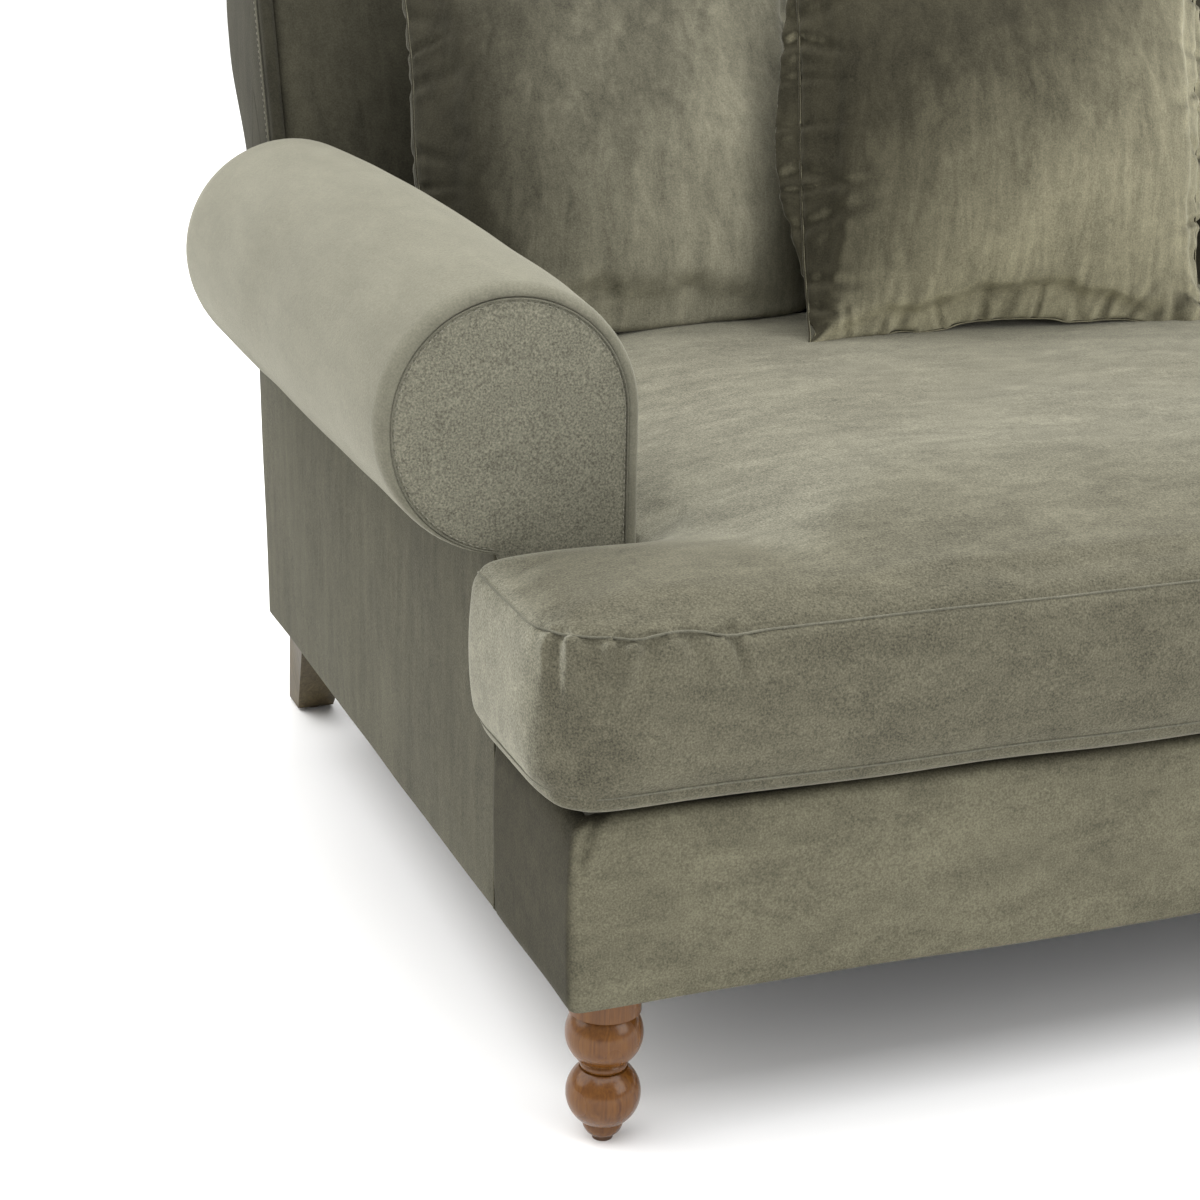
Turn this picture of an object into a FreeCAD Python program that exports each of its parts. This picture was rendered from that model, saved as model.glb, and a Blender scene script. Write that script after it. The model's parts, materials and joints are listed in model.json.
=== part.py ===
import FreeCAD, Part
import math
import os
import re

import Sketcher

# A roll-arm sofa: a wooden frame under padded covers, a T-shaped seat cushion, loose back cushions
# and one scatter cushion. Millimetres, +Z up, front at -Y, +X to the right as seen from the front.
# The origin is on the floor, at the middle of the sofa's footprint.

doc = FreeCAD.newDocument("RollArmSofa")
sheet = doc.addObject("Spreadsheet::Sheet", "Sizes")

SIZES = {
    # base
    "body_width": 1480,
    "body_depth": 962,
    "leg_height": 133,
    "base_height": 158,
    "cover_thickness": 14,
    "rail_thickness": 20,
    "deck_thickness": 13,
    "webbing_thickness": 3,
    "webbing_width": 60,
    "seat_strap_count": 9,
    "cross_rail_height": 100,
    "corner_block_width": 90,
    "corner_block_height": 60,
    "dust_cover_thickness": 1.2,
    "border_corner_radius": 12,
    "border_edge_radius": 8,
    # arms
    "arm_width": 118,
    "arm_setback": 182,
    "arm_padding": 26,
    "roll_padding": 23,
    "arm_rail_height": 40,
    "facing_thickness": 12,
    "facing_edge_radius": 6,
    "roll_radius": 106,
    "roll_height": 543,
    "roll_swell_height": 13,
    "roll_end_inset": 20,
    "roll_end_radius": 52,
    # back
    "back_recline": 18,
    "back_roll_radius": 80,
    "back_roll_height": 765,
    "back_roll_overhang": 48,
    "back_crease_angle": 263,
    "back_padding": 22,
    "back_frame_drop": 3,
    "outside_back_thickness": 10,
    "back_side_foot_height": 420,
    "post_width": 25,
    "post_depth": 50,
    "back_rail_height": 40,
    "back_strap_count": 5,
    "back_strap_thickness": 2,
    # front legs, from the floor up
    "leg_inset": 43,
    "glide_thickness": 3,
    "tip_radius": 8,
    "tip_height": 15,
    "foot_radius": 16,
    "foot_curve_radius": 14,
    "lower_ball_height": 44,
    "lower_neck_radius": 19,
    "ball_curve_radius": 28.5,
    "bead_height": 7,
    "bead_neck_radius": 17,
    "bead_curve_radius": 4.5,
    "upper_ball_height": 41,
    "upper_neck_radius": 24,
    "collar_radius": 28.5,
    "collar_step_height": 2,
    # rear legs
    "rear_leg_inset": 48,
    "rear_leg_setin": 40,
    "rear_leg_top_width": 57,
    "rear_leg_foot_width": 40,
    "rear_leg_rake_length": 104,
    "rear_leg_splay_length": 12,
    "rear_glide_radius": 14,
    # leg fixings
    "plate_width": 56,
    "plate_thickness": 4,
    "bolt_diameter": 8,
    "bolt_clearance": 0.1,
    "bolt_length_in_leg": 25,
    "bolt_length_in_block": 30,
    # seat cushion
    "cushion_overhang": 20,
    "cushion_side_overhang": 25,
    "cushion_edge_height": 19,
    "cushion_edge_inset": 12,
    "boxing_height": 125,
    "boxing_bulge_depth": 7,
    "seat_crown_height": 43,
    "ear_crown_height": 20,
    "crown_run_length": 270,
    "ear_corner_radius": 85,
    "seat_core_margin": 26,
    "rest_gap": 0.3,
    "side_clearance": 2,
    # back cushions
    "back_cushion_count": 3,
    "back_cushion_gap": 5,
    "back_cushion_height": 405,
    "back_cushion_foot_depth": 130,
    "back_cushion_lean": 15,
    "back_cushion_front_crown_depth": 47,
    "back_cushion_rear_crown_depth": 34,
    "back_cushion_draw_depth": 12,
    "filling_margin": 12,
    # scatter cushion
    "scatter_width": 430,
    "scatter_front_crown_depth": 74,
    "scatter_rear_crown_depth": 55,
    "scatter_draw_depth": 20,
    "scatter_lean": 15,
    "scatter_yaw": -3,
    "scatter_offset": -39,
}

for row, (alias, size) in enumerate(SIZES.items(), start=1):
    sheet.set("A%d" % row, alias.replace("_", " "))
    sheet.set("B%d" % row, str(size))
    sheet.setAlias("B%d" % row, alias)
doc.recompute()


def bound(text):
    """The expression with each size named as a cell of the sheet."""
    return re.sub(r"[a-z_]+", lambda word: ("Sizes." if word[0] in SIZES else "") + word[0], text)


def val(text):
    """What an expression in the named sizes comes to."""
    return float(sheet.evalExpression(bound(text)))


# Places that several pieces share, as expressions in the named sizes.
LEFT = "(-body_width/2)"
FRONT = "(-(body_depth + back_roll_overhang + back_roll_radius - cushion_overhang - boxing_bulge_depth)/2)"
BASE_TOP = "(leg_height + base_height)"
DECK_BOTTOM = "(leg_height + base_height - deck_thickness)"
RAIL_TOP = "(leg_height + base_height - deck_thickness - webbing_thickness)"
LEG_TOP = "(leg_height - plate_thickness)"
FACING = "(%s + arm_setback)" % FRONT
FACING_BACK = "(%s + facing_thickness)" % FACING
REAR_FOOT = "(%s + body_depth)" % FRONT
ARM_INSIDE = "(%s + arm_width)" % LEFT
ARM_WALL = "(%s - arm_padding)" % ARM_INSIDE
PANEL_INSIDE = "(%s + cover_thickness)" % LEFT
RAIL_INSIDE = "(%s + rail_thickness)" % PANEL_INSIDE
RAIL_FRONT = "(%s + cover_thickness)" % FRONT
RAIL_FRONT_INSIDE = "(%s + rail_thickness)" % RAIL_FRONT
RAIL_REAR = "(%s - outside_back_thickness)" % REAR_FOOT
RAIL_REAR_INSIDE = "(%s - rail_thickness)" % RAIL_REAR
POST_INSIDE = "(%s + post_width)" % PANEL_INSIDE
ROLL_X = "(%s - roll_radius)" % ARM_INSIDE
ROLL_END = "(%s - roll_end_inset)" % REAR_FOOT
HOLLOW_TOP = "(roll_height - roll_padding)"
BACK_ROLL_Y = "(%s + back_roll_overhang)" % REAR_FOOT
TANGENT_Y = "(%s - back_roll_radius*cos(back_recline))" % BACK_ROLL_Y
TANGENT_Z = "(back_roll_height + back_roll_radius*sin(back_recline))"
BACK_HOLLOW_TOP = "(back_roll_height - back_frame_drop)"
BORE = "(bolt_diameter/2 + bolt_clearance)"
SEAT_TOP = "(%s + cushion_edge_height + boxing_height + seat_crown_height + rest_gap)" % BASE_TOP


def back_front(height):
    """How far back the reclined front of the back lies at a height."""
    return "(%s - (%s - (%s))*tan(back_recline))" % (TANGENT_Y, TANGENT_Z, height)


def post_front(height):
    """How far back the frame's reclined posts start at a height."""
    return "(%s + back_padding + back_strap_thickness)" % back_front(height)


pieces = {}


def keep(label, piece):
    """Name a finished sub-part."""
    piece.Label = label
    pieces[label] = piece
    return piece


def solid(label, shape):
    """A sub-part made from a shape of its own."""
    piece = doc.addObject("Part::Feature", label)
    piece.Shape = shape
    return keep(label, piece)


def mirrored(label, source):
    """The right-hand twin of a left-hand sub-part."""
    piece = doc.addObject("Part::Mirroring", label)
    piece.Source = source
    piece.Base = FreeCAD.Vector(0, 0, 0)
    piece.Normal = FreeCAD.Vector(1, 0, 0)
    return keep(label, piece)


def board(name, x, y, z):
    """A straight board between pairs of places along X, Y and Z."""
    piece = doc.addObject("Part::Box", name)
    for size, axis, (low, high) in zip(("Length", "Width", "Height"), "xyz", (x, y, z)):
        piece.setExpression(size, bound("(%s) - (%s)" % (high, low)))
        piece.setExpression("Placement.Base." + axis, bound(low))
    return piece


def raked(name, x_low, x_high, y_low, y_high, z):
    """A board whose lower and upper ends are rectangles set apart. x and y hold (lower, upper) places."""
    piece = doc.addObject("Part::Wedge", name)
    ends = {
        "Ymin": z[0], "Ymax": z[1],
        "Xmin": x_low[0], "X2min": x_low[1], "Xmax": x_high[0], "X2max": x_high[1],
        "Zmin": "-(%s)" % y_high[0], "Z2min": "-(%s)" % y_high[1],
        "Zmax": "-(%s)" % y_low[0], "Z2max": "-(%s)" % y_low[1],
    }
    for end, place in ends.items():
        setattr(piece, end, val(place))
    for end, place in ends.items():
        piece.setExpression(end, bound(place))
    piece.Placement = FreeCAD.Placement(FreeCAD.Vector(), FreeCAD.Rotation(FreeCAD.Vector(1, 0, 0), 90))
    return piece


def cylinder(name, radius, x, y, z):
    """An upright pin between two heights."""
    piece = doc.addObject("Part::Cylinder", name)
    piece.setExpression("Radius", bound(radius))
    piece.setExpression("Height", bound("(%s) - (%s)" % (z[1], z[0])))
    for axis, place in zip("xyz", (x, y, z[0])):
        piece.setExpression("Placement.Base." + axis, bound(place))
    return piece


def cut(name, base, tool):
    """One piece with the room of another taken out of it."""
    piece = doc.addObject("Part::Cut", name)
    piece.Base = base
    piece.Tool = tool
    return piece


def profile(body, name, plane, corners, curves):
    """A closed sketch through corners given as expressions; curves gives some edges a radius.

    The corners run anticlockwise, and a curved edge bulges outwards.
    """
    sketch = body.newObject("Sketcher::SketchObject", name)
    support = [part for part in body.Origin.OriginFeatures if part.Role == plane][0]
    sketch.AttachmentSupport = [(support, "")]
    sketch.MapMode = "FlatFace"
    places = [FreeCAD.Vector(val(across), val(up), 0) for across, up in corners]
    count = len(places)
    for edge, start in enumerate(places):
        end = places[(edge + 1) % count]
        if edge in curves:
            radius = val(curves[edge])
            chord = end - start
            inward = FreeCAD.Vector(-chord.y, chord.x, 0).normalize()
            depth = math.sqrt(radius**2 - (chord.Length / 2)**2)
            centre = (start + end) * 0.5 + inward * depth
            turn = [math.atan2(place.y - centre.y, place.x - centre.x) for place in (start, end)]
            circle = Part.Circle(centre, FreeCAD.Vector(0, 0, 1), radius)
            sketch.addGeometry(Part.ArcOfCircle(circle, turn[0], turn[1]))
        else:
            sketch.addGeometry(Part.LineSegment(start, end))
    for edge in range(count):
        sketch.addConstraint(Sketcher.Constraint("Coincident", edge, 2, (edge + 1) % count, 1))
    for edge, (place, names) in enumerate(zip(places, corners)):
        for kind, size, text in (("DistanceX", place.x, names[0]), ("DistanceY", place.y, names[1])):
            index = sketch.addConstraint(Sketcher.Constraint(kind, -1, 1, edge, 1, size))
            sketch.setExpression("Constraints[%d]" % index, bound(text))
    for edge, text in curves.items():
        index = sketch.addConstraint(Sketcher.Constraint("Radius", edge, val(text)))
        sketch.setExpression("Constraints[%d]" % index, bound(text))
    doc.recompute()
    return sketch


def edges_where(shape, test):
    """Names of the edges whose two ends and middle pass a test."""
    names = []
    for number, edge in enumerate(shape.Edges, start=1):
        middle = edge.valueAt((edge.FirstParameter + edge.LastParameter) / 2)
        if all(test(place) for place in [middle] + [corner.Point for corner in edge.Vertexes]):
            names.append("Edge%d" % number)
    return names


def round_edges(body, feature, radius, test):
    """A rounded stretch along the edges of a body's last feature that pass a test."""
    doc.recompute()
    fillet = body.newObject("PartDesign::Fillet", body.Name + "_round_%d" % len(body.Group))
    fillet.Base = (feature, edges_where(feature.Shape, test))
    fillet.Radius = val(radius)
    fillet.setExpression("Radius", bound(radius))
    doc.recompute()
    return fillet


def arc(centre, radius, start, end):
    """Start, middle and end of an arc about a centre, from one angle to another in degrees."""
    turns = [math.radians(angle) for angle in (start, (start + end) / 2, end)]
    return [(centre[0] + radius * math.cos(turn), centre[1] + radius * math.sin(turn)) for turn in turns]


def bulge(start, end, height):
    """Start, middle and end of an arc that stands out by a height to the right of its chord."""
    across = end[0] - start[0]
    up = end[1] - start[1]
    length = math.hypot(across, up)
    middle_across = (start[0] + end[0]) / 2 + height * up / length
    middle_up = (start[1] + end[1]) / 2 - height * across / length
    return [start, (middle_across, middle_up), end]


def outline(edges, place):
    """A closed wire of lines (two points) and arcs (three points), put into space by a function."""
    made = []
    for edge in edges:
        points = [place(*point) for point in edge]
        if len(points) == 2:
            made.append(Part.LineSegment(*points).toShape())
        else:
            made.append(Part.Arc(*points).toShape())
    return Part.Wire(made)


def chain(points):
    """Straight edges through points in turn."""
    return [[start, end] for start, end in zip(points, points[1:])]


def across_x(edges, x_low, x_high):
    """A solid of one side-view outline (Y, Z) from one X to another."""
    wire = outline(edges, lambda y, z: FreeCAD.Vector(x_low, y, z))
    return Part.Face(wire).extrude(FreeCAD.Vector(x_high - x_low, 0, 0))


def along_y(edges, y_low, y_high):
    """A solid of one front-view outline (X, Z) from one Y to another."""
    wire = outline(edges, lambda x, z: FreeCAD.Vector(x, y_low, z))
    return Part.Face(wire).extrude(FreeCAD.Vector(0, y_high - y_low, 0))


def block(x, y, z):
    """A plain block between pairs of coordinates."""
    size = [high - low for low, high in (x, y, z)]
    return Part.makeBox(*size, FreeCAD.Vector(x[0], y[0], z[0]))


# Wooden base: four rails, cross rails and corner blocks.

RAIL_SPAN = (PANEL_INSIDE, "-" + PANEL_INSIDE)
RAIL_HEIGHTS = ("leg_height", RAIL_TOP)
keep("front_rail", board("front_rail", RAIL_SPAN, (RAIL_FRONT, RAIL_FRONT_INSIDE), RAIL_HEIGHTS))
keep("rear_rail", board("rear_rail", RAIL_SPAN, (RAIL_REAR_INSIDE, RAIL_REAR), RAIL_HEIGHTS))
left_side_rail = keep("left_side_rail", board(
    "left_side_rail", (PANEL_INSIDE, RAIL_INSIDE), (RAIL_FRONT_INSIDE, RAIL_REAR_INSIDE), RAIL_HEIGHTS))
mirrored("right_side_rail", left_side_rail)


def cross_rails():
    """Two boards from front to back that stop the long rails from bowing."""
    made = []
    for side in (-1, 1):
        middle = side * val("body_width/6")
        half = val("rail_thickness/2")
        made.append(block(
            (middle - half, middle + half), (val(RAIL_FRONT_INSIDE), val(RAIL_REAR_INSIDE)),
            (val(RAIL_TOP) - val("cross_rail_height"), val(RAIL_TOP))))
    return Part.makeCompound(made)


solid("cross_rails", cross_rails())

FRONT_LEG = (("%s + leg_inset" % LEFT), ("%s + leg_inset" % FRONT))
REAR_LEG = (("%s + rear_leg_inset" % LEFT), ("%s - rear_leg_setin" % REAR_FOOT))


def four_times(left_pair):
    """The left-hand solids and their mirror images, as one group."""
    right_pair = [shape.mirror(FreeCAD.Vector(), FreeCAD.Vector(1, 0, 0)) for shape in left_pair]
    return Part.makeCompound(list(left_pair) + right_pair)


def upright(radius, leg, low, high):
    """An upright cylinder over a leg."""
    return Part.makeCylinder(radius, high - low, FreeCAD.Vector(val(leg[0]), val(leg[1]), low))


def corner_blocks():
    """Three-sided blocks glued into the corners of the rails, bored for the leg bolts."""
    size = val("corner_block_width")
    x = val(RAIL_INSIDE)
    made = []
    for y, way, leg in ((val(RAIL_FRONT_INSIDE), 1, FRONT_LEG), (val(RAIL_REAR_INSIDE), -1, REAR_LEG)):
        corners = [(x, y), (x + size, y), (x, y + way * size), (x, y)]
        wire = outline(chain(corners), lambda px, py: FreeCAD.Vector(px, py, val("leg_height")))
        body = Part.Face(wire).extrude(FreeCAD.Vector(0, 0, val("corner_block_height")))
        bore = upright(val(BORE), leg, val("leg_height"), val("leg_height + bolt_length_in_block"))
        made.append(body.cut(bore))
    return four_times(made)


solid("corner_blocks", corner_blocks())

# Arms: posts and top rails inside, then the padded panels, rolls and facings.

ARM_RAIL_LOW = "(%s - arm_rail_height)" % HOLLOW_TOP
left_arm_front_post = keep("left_arm_front_post", board(
    "left_arm_front_post", (PANEL_INSIDE, ARM_WALL), (FACING_BACK, FACING_BACK + " + rail_thickness"),
    (RAIL_TOP, ARM_RAIL_LOW)))
mirrored("right_arm_front_post", left_arm_front_post)
left_arm_top_rail = keep("left_arm_top_rail", board(
    "left_arm_top_rail", (PANEL_INSIDE, ARM_WALL), (FACING_BACK, back_front(ARM_RAIL_LOW)),
    (ARM_RAIL_LOW, HOLLOW_TOP)))
mirrored("right_arm_top_rail", left_arm_top_rail)

CENTRE = (val(BACK_ROLL_Y), val("back_roll_height"))
CREASE = arc(CENTRE, val("back_roll_radius"), val("back_crease_angle"), val("back_crease_angle"))[0]


def back_rear(height):
    """How far back the sloping outside of the back lies at a height."""
    rise = (height - val("leg_height")) / (CREASE[1] - val("leg_height"))
    return val(REAR_FOOT) + rise * (CREASE[0] - val(REAR_FOOT))


def over_the_roll():
    """The rolled top of the back, from its front tangent over the top to the crease behind."""
    radius = val("back_roll_radius")
    turns = [val("180 - back_recline"), 90, 0, val("back_crease_angle") - 360]
    return [arc(CENTRE, radius, start, end) for start, end in zip(turns, turns[1:])]


def back_outline(foot):
    """The whole side view of the back above a height."""
    tangent = (val(TANGENT_Y), val(TANGENT_Z))
    front_foot = (val(back_front("%.6f" % foot)), foot)
    rear_foot = (back_rear(foot), foot)
    return [[front_foot, tangent]] + over_the_roll() + chain([CREASE, rear_foot, front_foot])


def roll_swell_at(y):
    """How far the top of the roll rises between its facing and its rear end."""
    share = (y - val(FACING)) / (val(ROLL_END) - val(FACING))
    return val("roll_swell_height") * math.sin(math.pi * min(max(share, 0), 1))**0.8


def roll_top(y, radius):
    """The upper half of the roll, from its inner side over the top to its outer side."""
    middle = val(ROLL_X)
    height = val("roll_height")
    rise = radius + roll_swell_at(y)
    turns = [math.radians(angle) for angle in (0, 45, 90, 135, 180)]
    points = [(middle + radius * math.cos(turn), height + rise * math.sin(turn)) for turn in turns]
    return [points[:3], points[2:]]


def roll_section(y):
    """Inside arm, roll and hollow for the frame, cut across at one place along the arm."""
    radius = val("roll_radius")
    centre = (val(ROLL_X), val("roll_height"))
    wall = val(ARM_WALL)
    low = val(RAIL_TOP)
    crease = 360 - math.degrees(math.acos((val(LEFT) - centre[0]) / radius))
    curves = roll_top(y, radius) + [arc(centre, radius, 180, crease)]
    under = curves[-1][2]
    foot = chain([(wall, low), (val(ARM_INSIDE), low), curves[0][0]])
    hollow = [under, (val(PANEL_INSIDE), under[1]), (val(PANEL_INSIDE), val(HOLLOW_TOP)),
              (wall, val(HOLLOW_TOP)), (wall, low)]
    return outline(foot + curves + chain(hollow), lambda x, z: FreeCAD.Vector(x, y, z))


def disc_section(y, radius):
    """A round section of the roll's rear end."""
    centre = (val(ROLL_X), val("roll_height"))
    curves = roll_top(y, radius) + [arc(centre, radius, 180, 270), arc(centre, radius, 270, 360)]
    return outline(curves, lambda x, z: FreeCAD.Vector(x, y, z))


def arm_roll():
    """The padded arm from its facing to the rounded rear end, fitted round the back."""
    start = val(FACING_BACK)
    end = val(ROLL_END)
    rounding = val("roll_end_radius")
    shoulder = end - 1.5 * rounding
    stations = [start + share * (shoulder - start) for share in (0, 0.15, 0.35, 0.6, 0.85, 1)]
    arm = Part.makeLoft([roll_section(y) for y in stations], True, False)
    dome = []
    for share in (0, 0.35, 0.7, 0.9, 1):
        fall = rounding * (1 - math.sqrt(1 - share**2))
        dome.append(disc_section(shoulder + share * (end - shoulder), val("roll_radius") - fall))
    rear_end = Part.makeLoft(dome, True, False)
    back = across_x(back_outline(val("leg_height")), val(LEFT), 0)
    return arm.fuse(rear_end).cut(back).removeSplitter()


left_arm_roll = solid("left_arm_roll", arm_roll())
mirrored("right_arm_roll", left_arm_roll)

left_back_side = solid(
    "left_back_side", across_x(back_outline(val("back_side_foot_height")), val(LEFT), val(PANEL_INSIDE)))
mirrored("right_back_side", left_back_side)


def arm_facing():
    """The flat front of the arm: straight sides below, the roll's circle above."""
    body = doc.addObject("PartDesign::Body", "left_arm_facing")
    crease = "(roll_height - sqrt(roll_radius^2 - (%s - %s)^2))" % (ROLL_X, LEFT)
    corners = [
        (LEFT, BASE_TOP),
        (ARM_INSIDE, BASE_TOP),
        (ARM_INSIDE, "roll_height"),
        (ROLL_X, "roll_height + roll_radius"),
        (ROLL_X + " - roll_radius", "roll_height"),
        (LEFT, crease),
    ]
    curves = {edge: "roll_radius" for edge in (2, 3, 4)}
    sketch = profile(body, "facing_outline", "XZ_Plane", corners, curves)
    pad = body.newObject("PartDesign::Pad", "facing_pad")
    pad.Profile = sketch
    pad.Length = val("facing_thickness")
    pad.setExpression("Length", bound("facing_thickness"))
    thickness = val("facing_thickness")
    low = val(BASE_TOP) + 1
    round_edges(body, pad, "facing_edge_radius", lambda p: p.y < 1 - thickness and p.z > low)
    body.setExpression("Placement.Base.y", bound(FACING_BACK))
    doc.recompute()
    return body


left_arm_facing = keep("left_arm_facing", arm_facing())
mirrored("right_arm_facing", left_arm_facing)


def outer_arm():
    """The padded panel outside the arm, from the base's edge up to the roll."""
    top = val("roll_height")
    low = val("leg_height")
    corners = [(val(FACING), low), (val(REAR_FOOT), low), (back_rear(top), top), (val(FACING), top)]
    blank = across_x(chain(corners + corners[:1]), val(LEFT), val(PANEL_INSIDE))
    return blank.cut([left_arm_roll.Shape, left_back_side.Shape, left_arm_facing.Shape])


left_outer_arm = solid("left_outer_arm", outer_arm())
mirrored("right_outer_arm", left_outer_arm)

# Front border: one padded strip along the front with returns to the arms.


def front_border():
    """A strip round the front of the base, with soft corners and a soft upper edge."""
    body = doc.addObject("PartDesign::Body", "front_border")
    corners = [
        (LEFT, FRONT),
        ("-" + LEFT, FRONT),
        ("-" + LEFT, FACING),
        ("-" + PANEL_INSIDE, FACING),
        ("-" + PANEL_INSIDE, RAIL_FRONT),
        (PANEL_INSIDE, RAIL_FRONT),
        (PANEL_INSIDE, FACING),
        (LEFT, FACING),
    ]
    sketch = profile(body, "border_plan", "XY_Plane", corners, {})
    pad = body.newObject("PartDesign::Pad", "border_pad")
    pad.Profile = sketch
    pad.Length = val("base_height")
    pad.setExpression("Length", bound("base_height"))
    near = 0.01
    side = -val(LEFT)
    front = val(FRONT)
    corner = round_edges(
        body, pad, "border_corner_radius", lambda p: abs(p.x) > side - near and p.y < front + near)
    top = val("base_height") - near
    inside = -val(PANEL_INSIDE) + near
    behind = val(RAIL_FRONT) - near
    round_edges(
        body, corner, "border_edge_radius", lambda p: p.z > top and (abs(p.x) > inside or p.y < behind))
    body.setExpression("Placement.Base.z", bound("leg_height"))
    doc.recompute()
    return body


keep("front_border", front_border())

LOWER_RAIL_TOP = "(%s + back_rail_height)" % BASE_TOP
LOWER_RAIL_REAR = "(%s + post_depth - rail_thickness/2)" % post_front(LOWER_RAIL_TOP)

# Suspension: webbing over the rails, the deck over the webbing, and the dust cover below.


def seat_webbing():
    """Straps from the front rail to the rear rail."""
    count = int(val("seat_strap_count"))
    width = val("webbing_width")
    span = -2 * val(ARM_INSIDE) - width
    made = []
    for number in range(count):
        left = val(ARM_INSIDE) + span * number / (count - 1)
        run = (val(RAIL_FRONT), val(RAIL_REAR))
        made.append(block((left, left + width), run, (val(RAIL_TOP), val(DECK_BOTTOM))))
    return Part.makeCompound(made)


solid("seat_webbing", seat_webbing())

deck = doc.addObject("Part::Fuse", "seat_deck")
deck.Base = board(
    "deck_front", (PANEL_INSIDE, "-" + PANEL_INSIDE), (RAIL_FRONT, FACING), (DECK_BOTTOM, BASE_TOP))
deck.Tool = board(
    "deck_rear", (ARM_INSIDE, "-" + ARM_INSIDE), (FACING, LOWER_RAIL_REAR), (DECK_BOTTOM, BASE_TOP))
deck.Refine = True
keep("seat_deck", deck)


def dust_cover():
    """Cloth under the rails, cut away at the four leg plates."""
    low = val("leg_height - dust_cover_thickness")
    high = val("leg_height")
    side = val(PANEL_INSIDE)
    sheet_of_cloth = block((side, -side), (val(RAIL_FRONT), val(RAIL_REAR)), (low, high))
    room = val("plate_width/2 + side_clearance")
    corners = []
    for leg, way in ((FRONT_LEG, 1), (REAR_LEG, -1)):
        inner = val(leg[1]) + way * room
        outer = val(RAIL_FRONT) if way > 0 else val(RAIL_REAR)
        corners.append(block((side, val(leg[0]) + room), sorted((inner, outer)), (low, high)))
    return sheet_of_cloth.cut(four_times(corners))


solid("dust_cover", dust_cover())

# Back: posts, rails and webbing inside, then the padded inside back and the outside back.

TOP_RAIL_BOTTOM = "(%s - back_rail_height)" % BACK_HOLLOW_TOP
CREASE_Y = "(%s + back_roll_radius*cos(back_crease_angle))" % BACK_ROLL_Y

POST_ENDS = (post_front(RAIL_TOP), post_front(BACK_HOLLOW_TOP))
left_back_post = keep("left_back_post", raked(
    "left_back_post", (PANEL_INSIDE, PANEL_INSIDE), (POST_INSIDE, POST_INSIDE),
    POST_ENDS, [place + " + post_depth" for place in POST_ENDS], (RAIL_TOP, BACK_HOLLOW_TOP)))
mirrored("right_back_post", left_back_post)
keep("back_lower_rail", board(
    "back_lower_rail", (POST_INSIDE, "-" + POST_INSIDE),
    (post_front(LOWER_RAIL_TOP), LOWER_RAIL_REAR), (BASE_TOP, LOWER_RAIL_TOP)))
keep("back_top_rail", board(
    "back_top_rail", (POST_INSIDE, "-" + POST_INSIDE),
    (post_front(BACK_HOLLOW_TOP), CREASE_Y), (TOP_RAIL_BOTTOM, BACK_HOLLOW_TOP)))


def leaning(low, high, front, depth):
    """The side view of a piece that leans with the back between two heights."""
    corners = []
    for height, offset in ((low, 0), (low, depth), (high, depth), (high, 0)):
        corners.append((val(front("%.6f" % height)) + offset, height))
    return chain(corners + corners[:1])


def back_centre_posts():
    """Two uprights between the back's rails."""
    side_view = leaning(val(LOWER_RAIL_TOP), val(TOP_RAIL_BOTTOM), post_front, val("post_depth"))
    half = val("post_width/2")
    middle = val("body_width/6")
    return Part.makeCompound([across_x(side_view, x - half, x + half) for x in (-middle, middle)])


solid("back_centre_posts", back_centre_posts())


def back_webbing():
    """Straps from side to side over the front of the posts."""
    count = int(val("back_strap_count"))
    width = val("webbing_width")
    low = val(LOWER_RAIL_TOP)
    room = val(TOP_RAIL_BOTTOM) - low - width
    made = []
    for number in range(count):
        foot = low + room * number / (count - 1)
        side_view = leaning(
            foot, foot + width, lambda z: back_front(z) + " + back_padding", val("back_strap_thickness"))
        made.append(across_x(side_view, val(PANEL_INSIDE), -val(PANEL_INSIDE)))
    return Part.makeCompound(made)


solid("back_webbing", back_webbing())


def inside_back():
    """The padded front of the back and the roll over its top, hollow for the frame."""
    foot = val(BASE_TOP)
    top = val(BACK_HOLLOW_TOP)
    front_foot = (val(back_front(BASE_TOP)), foot)
    padding = val("back_padding")
    hollow = [CREASE, (CREASE[0], top), (val(back_front(BACK_HOLLOW_TOP)) + padding, top),
              (front_foot[0] + padding, foot), front_foot]
    edges = [[front_foot, (val(TANGENT_Y), val(TANGENT_Z))]] + over_the_roll() + chain(hollow)
    return across_x(edges, val(PANEL_INSIDE), -val(PANEL_INSIDE))


def outside_back():
    """The flat panel behind, from the base's edge up to the crease under the roll."""
    low = val("leg_height")
    thickness = val("outside_back_thickness")
    foot = (val(REAR_FOOT), low)
    corners = [(foot[0] - thickness, low), foot, CREASE, (CREASE[0] - thickness, CREASE[1])]
    return across_x(chain(corners + corners[:1]), val(PANEL_INSIDE), -val(PANEL_INSIDE))


solid("inside_back", inside_back())
solid("outside_back", outside_back())

# Feet: turned legs in front, raked legs behind, with their plates, bolts and glides.


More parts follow.
